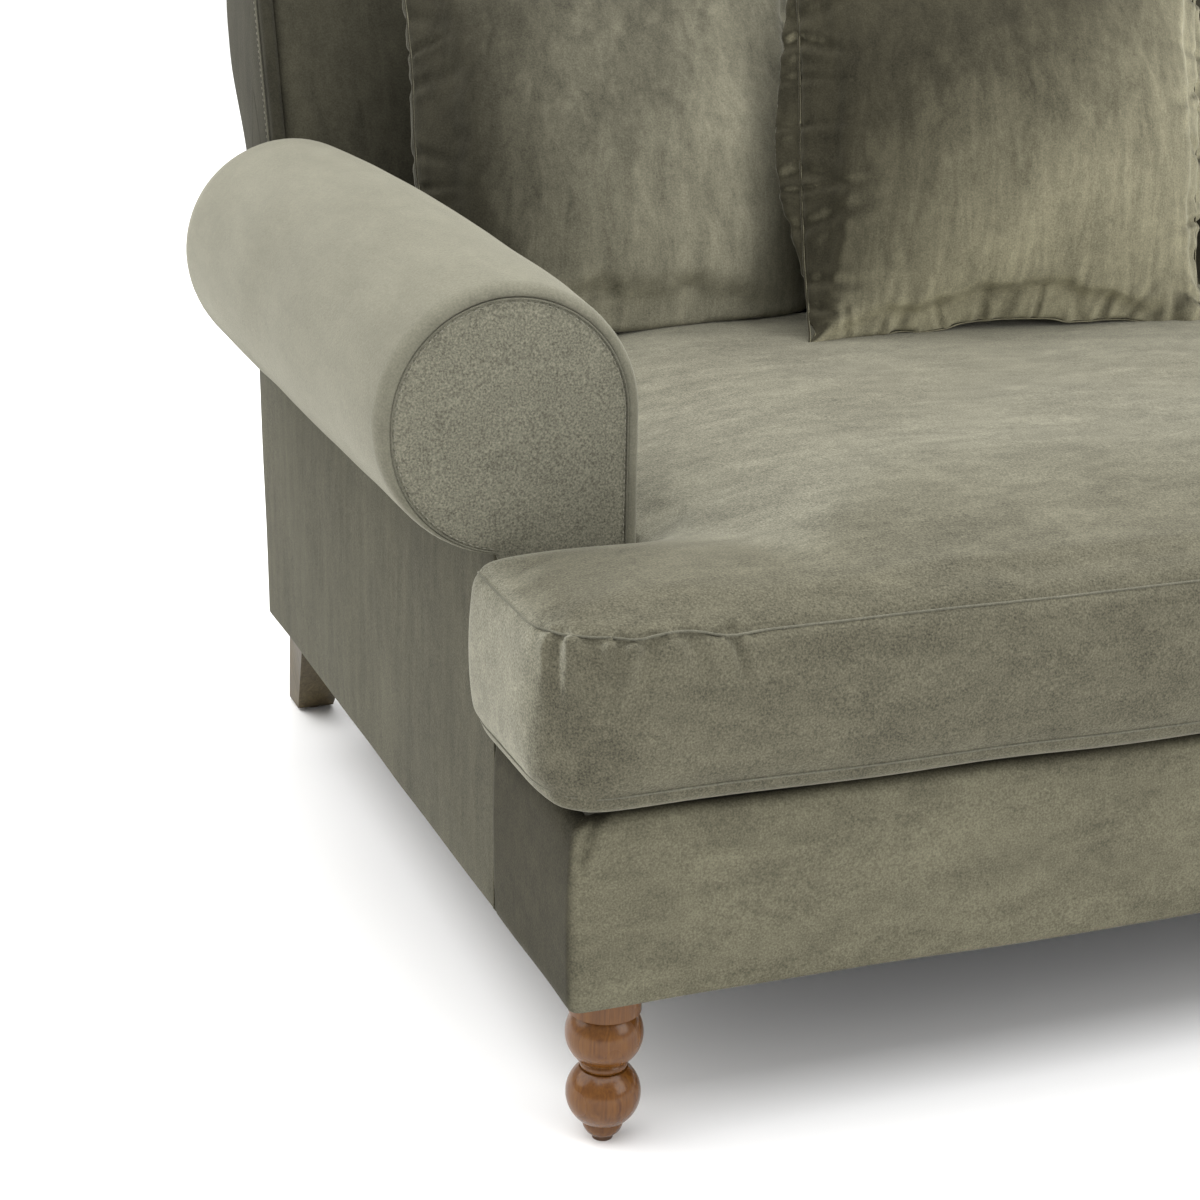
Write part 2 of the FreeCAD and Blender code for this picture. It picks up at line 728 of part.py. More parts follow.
def turned_leg():
    """A peg foot, two balls with a bead between them and a collar, bored for its bolt."""
    body = doc.addObject("PartDesign::Body", "front_left_leg")
    ledge = "(glide_thickness + tip_height)"
    waist = "(%s + lower_ball_height)" % ledge
    shoulder = "(%s + bead_height)" % waist
    neck = "(%s + upper_ball_height)" % shoulder
    bore_end = "(%s - bolt_length_in_leg)" % LEG_TOP
    corners = [
        ("0", "glide_thickness"),
        ("tip_radius", "glide_thickness"),
        ("foot_radius", ledge),
        ("lower_neck_radius", ledge),
        ("lower_neck_radius", waist),
        ("bead_neck_radius", waist),
        ("bead_neck_radius", shoulder),
        ("lower_neck_radius", shoulder),
        ("upper_neck_radius", neck),
        ("collar_radius", neck + " + collar_step_height"),
        ("collar_radius", LEG_TOP),
        (BORE, LEG_TOP),
        (BORE, bore_end),
        ("0", bore_end),
    ]
    curves = {1: "foot_curve_radius", 3: "ball_curve_radius", 5: "bead_curve_radius", 7: "ball_curve_radius"}
    sketch = profile(body, "leg_profile", "XZ_Plane", corners, curves)
    turning = body.newObject("PartDesign::Revolution", "leg_turning")
    turning.Profile = sketch
    turning.ReferenceAxis = (sketch, ["V_Axis"])
    turning.Angle = 360
    body.setExpression("Placement.Base.x", bound(FRONT_LEG[0]))
    body.setExpression("Placement.Base.y", bound(FRONT_LEG[1]))
    doc.recompute()
    return body


front_left_leg = keep("front_left_leg", turned_leg())
mirrored("front_right_leg", front_left_leg)

REAR_FOOT_X = REAR_LEG[0] + " + rear_leg_splay_length"
REAR_FOOT_Y = REAR_LEG[1] + " + rear_leg_rake_length"
rear_leg_blank = raked(
    "rear_leg_blank",
    (REAR_FOOT_X + " - rear_leg_foot_width/2", REAR_LEG[0] + " - rear_leg_top_width/2"),
    (REAR_FOOT_X + " + rear_leg_foot_width/2", REAR_LEG[0] + " + rear_leg_top_width/2"),
    (REAR_FOOT_Y + " - rear_leg_foot_width/2", REAR_LEG[1] + " - rear_leg_top_width/2"),
    (REAR_FOOT_Y + " + rear_leg_foot_width/2", REAR_LEG[1] + " + rear_leg_top_width/2"),
    ("glide_thickness", LEG_TOP))
rear_leg_bore = cylinder(
    "rear_leg_bore", BORE, REAR_LEG[0], REAR_LEG[1],
    (LEG_TOP + " - bolt_length_in_leg", LEG_TOP))
rear_left_leg = keep("rear_left_leg", cut("rear_left_leg", rear_leg_blank, rear_leg_bore))
mirrored("rear_right_leg", rear_left_leg)


def leg_plates():
    """Square steel plates between the legs and the corner blocks."""
    half = val("plate_width/2")
    made = []
    for leg in (FRONT_LEG, REAR_LEG):
        x = val(leg[0])
        y = val(leg[1])
        plate = block((x - half, x + half), (y - half, y + half), (val(LEG_TOP), val("leg_height")))
        made.append(plate.cut(upright(val(BORE), leg, val(LEG_TOP), val("leg_height"))))
    return four_times(made)


def hanger_bolts():
    """Bolts from each leg through its plate into the corner block."""
    low = val(LEG_TOP) - val("bolt_length_in_leg")
    high = val("leg_height + bolt_length_in_block")
    return four_times([upright(val("bolt_diameter/2"), leg, low, high) for leg in (FRONT_LEG, REAR_LEG)])


def foot_glides():
    """Round glides under the feet."""
    top = val("glide_thickness")
    rear_foot = (REAR_FOOT_X, REAR_FOOT_Y)
    return four_times([
        upright(val("tip_radius"), FRONT_LEG, 0, top), upright(val("rear_glide_radius"), rear_foot, 0, top)])


solid("leg_plates", leg_plates())
solid("hanger_bolts", hanger_bolts())
solid("foot_glides", foot_glides())

# Seat cushion: a crowned T with boxed sides, its ears in front of the arms.

SEAT_LOW = val(BASE_TOP) + val("rest_gap")
LOWER_SEAM = SEAT_LOW + val("cushion_edge_height")
UPPER_SEAM = LOWER_SEAM + val("boxing_height")
SEAT_FRONT = val(FRONT) - val("cushion_overhang")
SEAT_REAR = val(back_front(BASE_TOP)) - val("side_clearance")
SEAT_SIDE = -val(ARM_INSIDE) - val("side_clearance")
EAR_SIDE = -val(LEFT) + val("cushion_side_overhang")
EAR_REAR = val(FACING) - val("side_clearance")


def boxed_edge(edge, inward):
    """Side view of a boxed edge from the upper seam down to the underside."""
    bulge_height = val("boxing_bulge_depth") * inward
    under = (edge + inward * val("cushion_edge_inset"), SEAT_LOW)
    boxing = bulge((edge, UPPER_SEAM), (edge, LOWER_SEAM), bulge_height)
    fold = bulge((edge, LOWER_SEAM), under, val("cushion_edge_inset") / 4 * inward)
    return [boxing, fold]


def turned_round(edges):
    """The same edges, run the other way."""
    return [edge[::-1] for edge in edges[::-1]]


def seat_middle():
    """The seat between the arms, flat on top where the back cushions stand."""
    top = val(SEAT_TOP)
    run = val("crown_run_length")
    swell = val("seat_crown_height") / 4
    front = boxed_edge(SEAT_FRONT, 1)
    side_view = [bulge((SEAT_FRONT + run, top), (SEAT_FRONT, UPPER_SEAM), swell)] + front
    side_view += chain([front[-1][-1], (SEAT_REAR, SEAT_LOW), (SEAT_REAR, top), (SEAT_FRONT + run, top)])
    front_view = chain([
        (-SEAT_SIDE, UPPER_SEAM), (-SEAT_SIDE, SEAT_LOW), (SEAT_SIDE, SEAT_LOW), (SEAT_SIDE, UPPER_SEAM)])
    front_view.append(bulge((SEAT_SIDE, UPPER_SEAM), (SEAT_SIDE - run, top), swell))
    front_view.append([(SEAT_SIDE - run, top), (run - SEAT_SIDE, top)])
    front_view.append(bulge((run - SEAT_SIDE, top), (-SEAT_SIDE, UPPER_SEAM), swell))
    lengthwise = across_x(side_view, -SEAT_SIDE, SEAT_SIDE)
    crosswise = along_y(front_view, SEAT_FRONT - val("cushion_overhang"), SEAT_REAR)
    return lengthwise.common(crosswise)


def seat_ears():
    """The bar along the front that reaches round in front of both arms."""
    top = UPPER_SEAM + val("ear_crown_height")
    run = EAR_REAR - SEAT_FRONT
    front = boxed_edge(SEAT_FRONT, 1)
    side_view = [bulge((EAR_REAR, UPPER_SEAM), (SEAT_FRONT, UPPER_SEAM), val("ear_crown_height"))] + front
    side_view += chain([front[-1][-1], (EAR_REAR, SEAT_LOW), (EAR_REAR, UPPER_SEAM)])
    left = boxed_edge(-EAR_SIDE, 1)
    right = turned_round(boxed_edge(EAR_SIDE, -1))
    swell = val("ear_crown_height") / 4
    front_view = left + [[left[-1][-1], right[0][0]]] + right
    front_view.append(bulge((EAR_SIDE, UPPER_SEAM), (EAR_SIDE - run, top), swell))
    front_view.append([(EAR_SIDE - run, top), (run - EAR_SIDE, top)])
    front_view.append(bulge((run - EAR_SIDE, top), (-EAR_SIDE, UPPER_SEAM), swell))
    side = EAR_SIDE + val("boxing_bulge_depth")
    nose = SEAT_FRONT - val("boxing_bulge_depth")
    radius = val("ear_corner_radius")
    left_turn = arc((radius - side, nose + radius), radius, 180, 270)
    right_turn = arc((side - radius, nose + radius), radius, 270, 360)
    plan = [left_turn, [left_turn[2], right_turn[0]], right_turn]
    plan += chain([right_turn[2], (side, EAR_REAR), (-side, EAR_REAR), left_turn[0]])
    wire = outline(plan, lambda x, y: FreeCAD.Vector(x, y, SEAT_LOW))
    rounded = Part.Face(wire).extrude(FreeCAD.Vector(0, 0, top - SEAT_LOW))
    lengthwise = across_x(side_view, -side, side)
    crosswise = along_y(front_view, nose, EAR_REAR)
    return lengthwise.common(crosswise).common(rounded)


def seat_core():
    """The foam inside, a plainer T."""
    margin = val("seat_core_margin")
    heights = (SEAT_LOW + margin / 2, UPPER_SEAM - margin / 4)
    middle = block(
        (margin - SEAT_SIDE, SEAT_SIDE - margin), (SEAT_FRONT + margin, SEAT_REAR - margin), heights)
    reach = EAR_SIDE - val("ear_corner_radius")
    ears = block((-reach, reach), (SEAT_FRONT + margin, EAR_REAR - margin), heights)
    return middle.fuse(ears).removeSplitter()


seat_cushion_core = solid("seat_cushion_core", seat_core())
solid("seat_cushion_cover", seat_middle().fuse(seat_ears()).removeSplitter().cut(seat_cushion_core.Shape))

# Back cushions: blunt feet on the seat, a soft crown to the front and a thin edge at the top.

CUSHION_FOOT = val(SEAT_TOP) + val("rest_gap")
CUSHION_PITCH = -2 * val(ARM_INSIDE) / val("back_cushion_count")
CROWN_SHARES = ((-1, 0.12), (-0.82, 0.62), (-0.45, 0.93), (0, 1), (0.45, 0.93), (0.82, 0.62), (1, 0.12))


def back_cushion_section(middle, share, fullness):
    """Side view of a back cushion, a share of the way from its middle to its edge."""
    half = val("back_cushion_foot_depth") / 2 * fullness
    top = CUSHION_FOOT + val("back_cushion_height") - val("back_cushion_draw_depth") * (1 - share**2)
    tip = (middle + (top - CUSHION_FOOT) * math.tan(math.radians(val("back_cushion_lean"))), top)
    front_foot = (middle - half, CUSHION_FOOT)
    rear_foot = (middle + half, CUSHION_FOOT)
    rear = bulge(rear_foot, tip, val("back_cushion_rear_crown_depth") * fullness)
    front = bulge(tip, front_foot, val("back_cushion_front_crown_depth") * fullness)
    return [[front_foot, rear_foot], rear, front]


def back_cushion_middle():
    """Where the middle of the cushions' feet lies when their backs just meet the inside back."""
    rear = back_cushion_section(0, 0, 1)[1]
    curve = Part.Arc(*[FreeCAD.Vector(0, y, z) for y, z in rear]).toShape()
    room = [val(back_front("%.6f" % point.z)) - point.y for point in curve.discretize(40)]
    return min(room) - val("rest_gap")


def back_cushion(centre):
    """One cushion, fullest in its middle."""
    half = (CUSHION_PITCH - val("back_cushion_gap")) / 2
    middle = back_cushion_middle()
    wires = []
    for share, fullness in CROWN_SHARES:
        x = centre + share * half
        section = back_cushion_section(middle, share, fullness)
        wires.append(outline(section, lambda y, z: FreeCAD.Vector(x, y, z)))
    return Part.makeLoft(wires, True, False)


def filled(name, shape, thickness):
    """A cushion's cover and the filling inside it."""
    share = 1 - 2 * val("filling_margin") / thickness
    filling = shape.copy()
    filling.scale(share, shape.CenterOfMass)
    solid(name + "_filling", filling)
    return solid(name + "_cover", shape.cut(filling))


back_shapes = []
for number, side in enumerate(("left", "centre", "right")):
    back_shape = back_cushion((number - 1) * CUSHION_PITCH)
    back_shapes.append(back_shape)
    filled(side + "_back_cushion", back_shape, val("back_cushion_foot_depth"))

# Scatter cushion: a square knife-edged cushion that stands on the seat and leans on the back cushions.


def scatter_section(share):
    """Front and back crowns of the scatter cushion, a share of the way out from its middle."""
    size = val("scatter_width")
    half = size / 2 - val("scatter_draw_depth") * (1 - share**2)
    fullness = max((1 - share**2)**0.6, 0.1)
    rear = bulge((0, -half), (0, half), val("scatter_rear_crown_depth") * fullness)
    front = bulge((0, half), (0, -half), val("scatter_front_crown_depth") * fullness)
    return outline([rear, front], lambda y, z: FreeCAD.Vector(share * size / 2, y, z))


def scatter_cushion():
    """The cushion, leaned, turned and set down against the cushions behind it."""
    shares = (-1, -0.8, -0.45, 0, 0.45, 0.8, 1)
    shape = Part.makeLoft([scatter_section(share) for share in shares], True, False)
    shape.rotate(FreeCAD.Vector(), FreeCAD.Vector(1, 0, 0), -val("scatter_lean"))
    shape.rotate(FreeCAD.Vector(), FreeCAD.Vector(0, 0, 1), val("scatter_yaw"))
    lift = CUSHION_FOOT - shape.optimalBoundingBox().ZMin
    shape.translate(FreeCAD.Vector(val("scatter_offset"), back_cushion_middle() - val("scatter_width"), lift))
    behind = Part.makeCompound(back_shapes)
    for _ in range(8):
        room = shape.distToShape(behind)[0] - val("rest_gap")
        shape.translate(FreeCAD.Vector(0, max(room, 0), 0))
    return shape


filled("scatter_cushion", scatter_cushion(), val("scatter_front_crown_depth + scatter_rear_crown_depth"))

# Every sub-part is checked, and then written.

doc.recompute()
for item in doc.Objects:
    if {"Invalid", "Error"} & set(item.State):
        raise RuntimeError("%s did not build: %s" % (item.Label, item.State))
for label, piece in pieces.items():
    if piece.Shape.isNull() or not piece.Shape.isValid() or piece.Shape.Volume <= 0:
        raise RuntimeError("%s has no sound solid" % label)

os.makedirs("parts", exist_ok=True)
for label, piece in pieces.items():
    piece.Shape.exportStep("parts/%s.step" % label)
print("%d sub-parts" % len(pieces))
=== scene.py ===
import json
import math

import bmesh
import bpy
import numpy as np
from mathutils import Matrix, Vector, noise
from mathutils.bvhtree import BVHTree
from mathutils.kdtree import KDTree

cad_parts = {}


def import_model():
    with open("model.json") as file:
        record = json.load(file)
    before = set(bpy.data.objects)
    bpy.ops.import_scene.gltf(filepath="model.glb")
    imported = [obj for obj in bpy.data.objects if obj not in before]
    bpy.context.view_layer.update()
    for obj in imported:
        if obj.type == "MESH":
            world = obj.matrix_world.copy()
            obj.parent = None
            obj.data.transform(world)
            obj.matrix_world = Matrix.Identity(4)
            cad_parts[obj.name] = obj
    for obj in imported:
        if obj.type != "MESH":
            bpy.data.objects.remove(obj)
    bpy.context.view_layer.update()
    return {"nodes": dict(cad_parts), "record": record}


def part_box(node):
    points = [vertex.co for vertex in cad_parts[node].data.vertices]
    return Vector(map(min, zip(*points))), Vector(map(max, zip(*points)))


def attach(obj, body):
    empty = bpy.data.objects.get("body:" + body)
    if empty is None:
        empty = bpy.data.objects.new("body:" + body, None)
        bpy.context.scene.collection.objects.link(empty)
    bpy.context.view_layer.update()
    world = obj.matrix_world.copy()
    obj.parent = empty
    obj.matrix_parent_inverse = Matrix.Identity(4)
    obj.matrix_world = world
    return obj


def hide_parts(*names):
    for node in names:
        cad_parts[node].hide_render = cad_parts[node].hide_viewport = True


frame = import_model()

# A roll-arm sofa in sage velvet. Metres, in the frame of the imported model: +Z up, front at -Y.

NODES = frame["nodes"]
SCENE = bpy.context.scene

# Main places of the part.
HALF_WIDTH = 0.740
FRONT = -0.5315
FACING = FRONT + 0.182
REAR_FOOT = FRONT + 0.962
LEG_HEIGHT = 0.133
BASE_TOP = 0.291
ARM_WIDTH = 0.118
CREASE_HEIGHT = 0.4377
ROLL_RADIUS = 0.106
ROLL_HEIGHT = 0.543
ROLL_SWELL = 0.013
ROLL_END = REAR_FOOT - 0.020
ROLL_MIDDLE = ARM_WIDTH - ROLL_RADIUS
BACK_RADIUS = 0.080
BACK_ROLL = np.array([REAR_FOOT + 0.048, 0.765])
RECLINE = math.radians(18)
BACK_CREASE = math.radians(263)
TANGENT = BACK_ROLL + BACK_RADIUS * np.array([-math.cos(RECLINE), math.sin(RECLINE)])
CREASE = BACK_ROLL + BACK_RADIUS * np.array([math.cos(BACK_CREASE), math.sin(BACK_CREASE)])
BACK_SIDE_FOOT = 0.42
SEAT_FRONT = FRONT - 0.020
EAR_SIDE = HALF_WIDTH + 0.025
EAR_REAR = FACING - 0.002
UPPER_SEAM = 0.4353
LOWER_SEAM = 0.3103
SEAT_TOP = 0.4783


def back_front(z):
    """How far back the reclined front of the back lies at a height."""
    return TANGENT[0] - (TANGENT[1] - z) * math.tan(RECLINE)


def back_rear(z):
    """How far back the sloping outside of the back lies at a height."""
    return REAR_FOOT + (z - LEG_HEIGHT) / (CREASE[1] - LEG_HEIGHT) * (CREASE[0] - REAR_FOOT)


# Materials


def settle(made, **inputs):
    """Set some of a node's inputs by name."""
    for name, value in inputs.items():
        made.inputs[name.replace("_", " ")].default_value = value
    return made


def node(tree, kind, **inputs):
    """A shader node with some of its inputs set by name."""
    return settle(tree.nodes.new(kind), **inputs)


def material(name):
    """A new material, its node tree and its shader."""
    made = bpy.data.materials.new(name)
    made.use_nodes = True
    tree = made.node_tree
    return made, tree, tree.nodes["Principled BSDF"]


def noise_at(tree, coords, stretch, scale, detail=3.0, roughness=0.5, distortion=0.0, turn=0.0):
    """A noise factor over object coordinates, turned about the upright and stretched along the axes."""
    mapping = node(tree, "ShaderNodeMapping", Scale=stretch, Rotation=(0, 0, turn))
    tree.links.new(coords, mapping.inputs["Vector"])
    made = node(tree, "ShaderNodeTexNoise", Scale=scale, Detail=detail, Roughness=roughness,
                Distortion=distortion)
    tree.links.new(mapping.outputs["Vector"], made.inputs["Vector"])
    return made.outputs[0]


def weighted(tree, parts):
    """The sum of factors times weights."""
    total = None
    for factor, weight in parts:
        step = node(tree, "ShaderNodeMath")
        step.operation = "MULTIPLY" if total is None else "MULTIPLY_ADD"
        tree.links.new(factor, step.inputs[0])
        step.inputs[1].default_value = weight
        if total is not None:
            tree.links.new(total, step.inputs[2])
        total = step.outputs[0]
    return total


def ramp(tree, factor, stops):
    """Colours along a factor."""
    made = node(tree, "ShaderNodeValToRGB")
    while len(made.color_ramp.elements) < len(stops):
        made.color_ramp.elements.new(0.5)
    for element, (place, colour) in zip(made.color_ramp.elements, stops):
        element.position = place
        element.color = (*colour, 1)
    tree.links.new(factor, made.inputs[0])
    return made.outputs[0]


def bump(tree, shader, height, strength, distance):
    """Fine relief from a factor."""
    made = node(tree, "ShaderNodeBump", Strength=strength, Distance=distance)
    tree.links.new(height, made.inputs["Height"])
    tree.links.new(made.outputs["Normal"], shader.inputs["Normal"])


def coordinates(tree):
    """Coordinates that move with the piece."""
    return node(tree, "ShaderNodeTexCoord").outputs["Object"]


# Velvet: its middle colour, how dark and light its pile gets, the marks per metre of its four noises,
# how ragged the edge of its painted light and shade is, and how much darker a painted shade patch makes it.
VELVET = np.array([0.205, 0.198, 0.150])
DARK_PILE, LIGHT_PILE = 0.25, 1.80
MOTTLE, BRUSH, GRAIN, PILE = 7.0, 17.0, 75.0, 620.0
RAGGED = 0.14
# How much darker a painted shade patch makes the velvet.
SHADE_PATCH_DARKNESS = 0.60
EVEN = (1, 1, 1)


def velvet(name, tone, streak, contrast=1.0, light_way=None, span=(-1.0, 1.0), shade=(1.0, 1.0), turn=0.0,
           sheen=0.30, speckle=0.42, tint=(1, 1, 1), shade_place=None):
    """Short-pile velvet, with brush marks along the axis that streak keeps low.

    The tone is painted lighter where the cloth turns towards the given direction and darker where it
    turns away: this stands for the pile lying one way and also paints in light and shade. Shade gives
    the tone at both ends of span, which is how far it turns. Near the place of a shade patch the tone
    is painted darker still, a painted shadow.
    Contrast weighs the large noises and speckle the finest one.
    """
    made, tree, shader = material(name)
    coords = coordinates(tree)
    mottle = noise_at(tree, coords, EVEN, MOTTLE, 4.0, 0.6, 0.6)
    brush = noise_at(tree, coords, streak, BRUSH, 5.0, 0.66, 0.4, turn)
    grain = noise_at(tree, coords, EVEN, GRAIN, 5.0, 0.70)
    pile = noise_at(tree, coords, EVEN, PILE, 2.0, 0.6)
    weights = np.array([0.18 * contrast, 0.32 * contrast, 0.18 * contrast, speckle])
    total = float(weights.sum())
    mixed = weighted(tree, list(zip((mottle, brush, grain, pile), (weights / total).tolist())))
    base = VELVET * tone * np.array(tint)
    reach = min(0.30 / total, 0.5)
    stops = [(0.5 - reach, base * DARK_PILE), (0.5, base), (0.5 + reach, base * LIGHT_PILE)]
    colour = ramp(tree, mixed, stops)
    if light_way is not None:
        # Painted light and shade by which way the cloth faces, darker still in a painted shade patch.
        shade_patch = None if shade_place is None else patch(tree, coords, *shade_place)
        colour = painted_by_facing(tree, colour, light_way, span, shade, brush, shade_patch)
    tree.links.new(colour, shader.inputs["Base Color"])
    settle(shader, Roughness=0.92, Specular_IOR_Level=0.12)
    settle(shader, Sheen_Weight=sheen, Sheen_Roughness=0.38, Sheen_Tint=(0.95, 0.93, 0.79, 1))
    bump(tree, shader, weighted(tree, [(pile, 0.7), (grain, 0.3), (brush, 0.5)]), 0.35, 0.0012)
    return made


def patch(tree, coords, middle, near, far):
    """A soft factor, 1 near a place on either side of the sofa and 0 away from it, lower than it is wide."""
    lower = (1.0, 1.0, 2.2)
    steps = (("ABSOLUTE", None), ("SUBTRACT", middle), ("MULTIPLY", lower), ("LENGTH", None))
    for operation, value in steps:
        step = node(tree, "ShaderNodeVectorMath")
        step.operation = operation
        tree.links.new(coords, step.inputs[0])
        if value is not None:
            step.inputs[1].default_value = value
        coords = step.outputs[0]
    place = node(tree, "ShaderNodeMapRange", From_Min=near, From_Max=far, To_Min=1.0, To_Max=0.0)
    place.interpolation_type = "SMOOTHSTEP"
    tree.links.new(step.outputs["Value"], place.inputs[0])
    return place.outputs[0]


def painted_by_facing(tree, colour, light_way, span, shade, brush, shade_patch=None):
    """Painted light and shade on a colour: darker where the cloth turns from a direction, with a ragged edge.
    """
    turned = node(tree, "ShaderNodeVectorMath")
    turned.operation = "DOT_PRODUCT"
    tree.links.new(node(tree, "ShaderNodeTexCoord").outputs["Normal"], turned.inputs[0])
    turned.inputs[1].default_value = light_way
    parts = [(turned.outputs["Value"], 1.0), (brush, RAGGED)]
    if shade_patch is not None:
        parts.append((shade_patch, -SHADE_PATCH_DARKNESS))
    ragged = weighted(tree, parts)
    dark, light = shade
    tints = [(0.0, (dark, dark * 0.97, dark * 0.90)), (1.0, (light, light, light))]
    middle = RAGGED / 2
    place = node(tree, "ShaderNodeMapRange", From_Min=span[0] + middle, From_Max=span[1] + middle)
    place.interpolation_type = "SMOOTHSTEP"
    tree.links.new(ragged, place.inputs[0])
    mixed = node(tree, "ShaderNodeMix")
    mixed.data_type = "RGBA"
    mixed.blend_type = "MULTIPLY"
    mixed.inputs[0].default_value = 1.0
    tree.links.new(colour, mixed.inputs[6])
    tree.links.new(ramp(tree, place.outputs[0], tints), mixed.inputs[7])
    return mixed.outputs[2]


def wood(name, dark, light, gloss, coat):
    """Straight-grained wood, grain upright."""
    made, tree, shader = material(name)
    coords = coordinates(tree)
    grain = noise_at(tree, coords, (26, 26, 1.6), 6.0, 6.0, 0.62, 1.4)
    pores = noise_at(tree, coords, (160, 160, 6), 5.0, 2.0, 0.5)
    figure = noise_at(tree, coords, (4, 4, 1), 4.0, 3.0, 0.5, 0.8)
    shade = weighted(tree, [(grain, 0.55), (pores, 0.2), (figure, 0.25)])
    middle = (np.array(dark) + np.array(light)) / 2
    colour = ramp(tree, shade, [(0.32, dark), (0.5, middle), (0.68, light)])
    tree.links.new(colour, shader.inputs["Base Color"])
    worn = node(tree, "ShaderNodeMapRange", From_Min=0.3, From_Max=0.7, To_Min=gloss, To_Max=gloss + 0.16)
    tree.links.new(figure, worn.inputs[0])
    tree.links.new(worn.outputs[0], shader.inputs["Roughness"])
    settle(shader, Specular_IOR_Level=0.25, Coat_Weight=coat, Coat_Roughness=0.12)
    bump(tree, shader, pores, 0.12, 0.0006)
    return made


def cloth(name, dark, light, pitch):
    """A plain woven cloth."""
    made, tree, shader = material(name)
    coords = coordinates(tree)
    warp = noise_at(tree, coords, (1, 0.06, 0.06), pitch, 1.0)
    weft = noise_at(tree, coords, (0.06, 1, 1), pitch, 1.0)
    wear = noise_at(tree, coords, EVEN, 9.0, 4.0)
    shade = weighted(tree, [(warp, 0.35), (weft, 0.35), (wear, 0.3)])
    tree.links.new(ramp(tree, shade, [(0.35, dark), (0.65, light)]), shader.inputs["Base Color"])
    settle(shader, Roughness=0.95)
    bump(tree, shader, shade, 0.3, 0.001)
    return made


def hard(name, dark, light, roughness, metallic):
    """Plated metal or moulded plastic with a fine uneven finish."""
    made, tree, shader = material(name)
    coords = coordinates(tree)
    grime = noise_at(tree, coords, EVEN, 40.0, 4.0, 0.6)
    tree.links.new(ramp(tree, grime, [(0.3, dark), (0.7, light)]), shader.inputs["Base Color"])
    settle(shader, Metallic=metallic)
    worn = node(tree, "ShaderNodeMapRange", To_Min=roughness - 0.1, To_Max=roughness + 0.1)
    tree.links.new(grime, worn.inputs[0])
    tree.links.new(worn.outputs[0], shader.inputs["Roughness"])
    bump(tree, shader, grime, 0.1, 0.0005)
    return made


# How the brush marks are stretched: marks per metre along each axis, times BRUSH.
UPRIGHT = (3.2, 3.2, 0.55)
LENGTHWISE = (2.6, 0.7, 2.6)
CROSSWISE = (0.9, 2.4, 2.2)
ALL_WAYS = (2, 2, 2)

# Painted shade patches: the middle, and how far from it the painted darkening starts to fade and ends.
# The seat's lie on its ear tops in front of the arms, the border's in the folds at its upper corners.
SEAT_EAR_SHADE = ((0.675, 0.465, 0.470), 0.05, 0.15)
BORDER_FOLD_SHADE = ((0.738, 0.530, 0.292), 0.010, 0.034)

OLIVE = (1.0, 0.97, 0.88)
# Painted shade: outer panels, inside back and back ends get darker velvet tones, partly for the pile lying
# another way.
ROLL_VELVET = velvet("velvet_roll", 0.72, LENGTHWISE, 0.50, speckle=0.30)
FACING_VELVET = velvet("velvet_facing", 0.71, ALL_WAYS, 0.50, speckle=0.90)
PANEL_VELVET = velvet("velvet_panel", 0.30, UPRIGHT, 1.3, sheen=0.14, speckle=0.70, tint=OLIVE)
# Painted shade: the border is darker everywhere but its front, and darker still in the folds at its upper
# corners.
BORDER_VELVET = velvet("velvet_border", 0.57, CROSSWISE, 1.2, light_way=(0, -1, 0), span=(0.0, 1.0),
                       shade=(0.28, 1.0), sheen=0.08, speckle=0.60, tint=OLIVE, shade_place=BORDER_FOLD_SHADE)
# Painted light and shade: seat lighter facing left, back and up, darker facing front and right, and on its ear
# tops.
SEAT_VELVET = velvet("velvet_seat", 0.55, CROSSWISE, 1.2, light_way=(-0.60, 0.72, 0.35), span=(0.10, 0.62),
                     shade=(0.83, 1.45), turn=0.6, speckle=0.80, shade_place=SEAT_EAR_SHADE)
BACK_VELVET = velvet("velvet_back", 0.21, UPRIGHT, 1.3, sheen=0.18, tint=OLIVE)
# Painted shade: the back's end panels are darker still, against the daylight that falls on them.
SHADED_SIDE_VELVET = velvet("velvet_back_side", 0.15, UPRIGHT, 1.3, sheen=0.10, tint=OLIVE)
# Painted light and shade: each back cushion is lighter facing right, forward and down, darker facing left and
# up.
CUSHION_VELVET = velvet("velvet_cushion", 0.78, UPRIGHT, 1.3, light_way=(0.80, -0.35, -0.45), span=(-0.25, 0.5),
                        shade=(0.22, 1.3), tint=(1.0, 0.985, 0.95))
# Painted light and shade: the scatter cushion is lighter facing down, right and forward, darker facing up and
# left.
SCATTER_VELVET = velvet("velvet_scatter", 0.71, UPRIGHT, 1.4, light_way=(0.55, -0.30, -0.78), span=(-0.3, 0.7),
                        shade=(0.26, 2.3), tint=OLIVE)
SEAM_VELVET = velvet("velvet_seam", 0.56, ALL_WAYS, 0.6)
THREAD = cloth("sewing_thread", (0.15, 0.145, 0.11), (0.26, 0.25, 0.20), 900.0)
FOOT_WOOD = wood("turned_foot_wood", (0.066, 0.020, 0.004), (0.180, 0.074, 0.012), 0.20, 0.22)
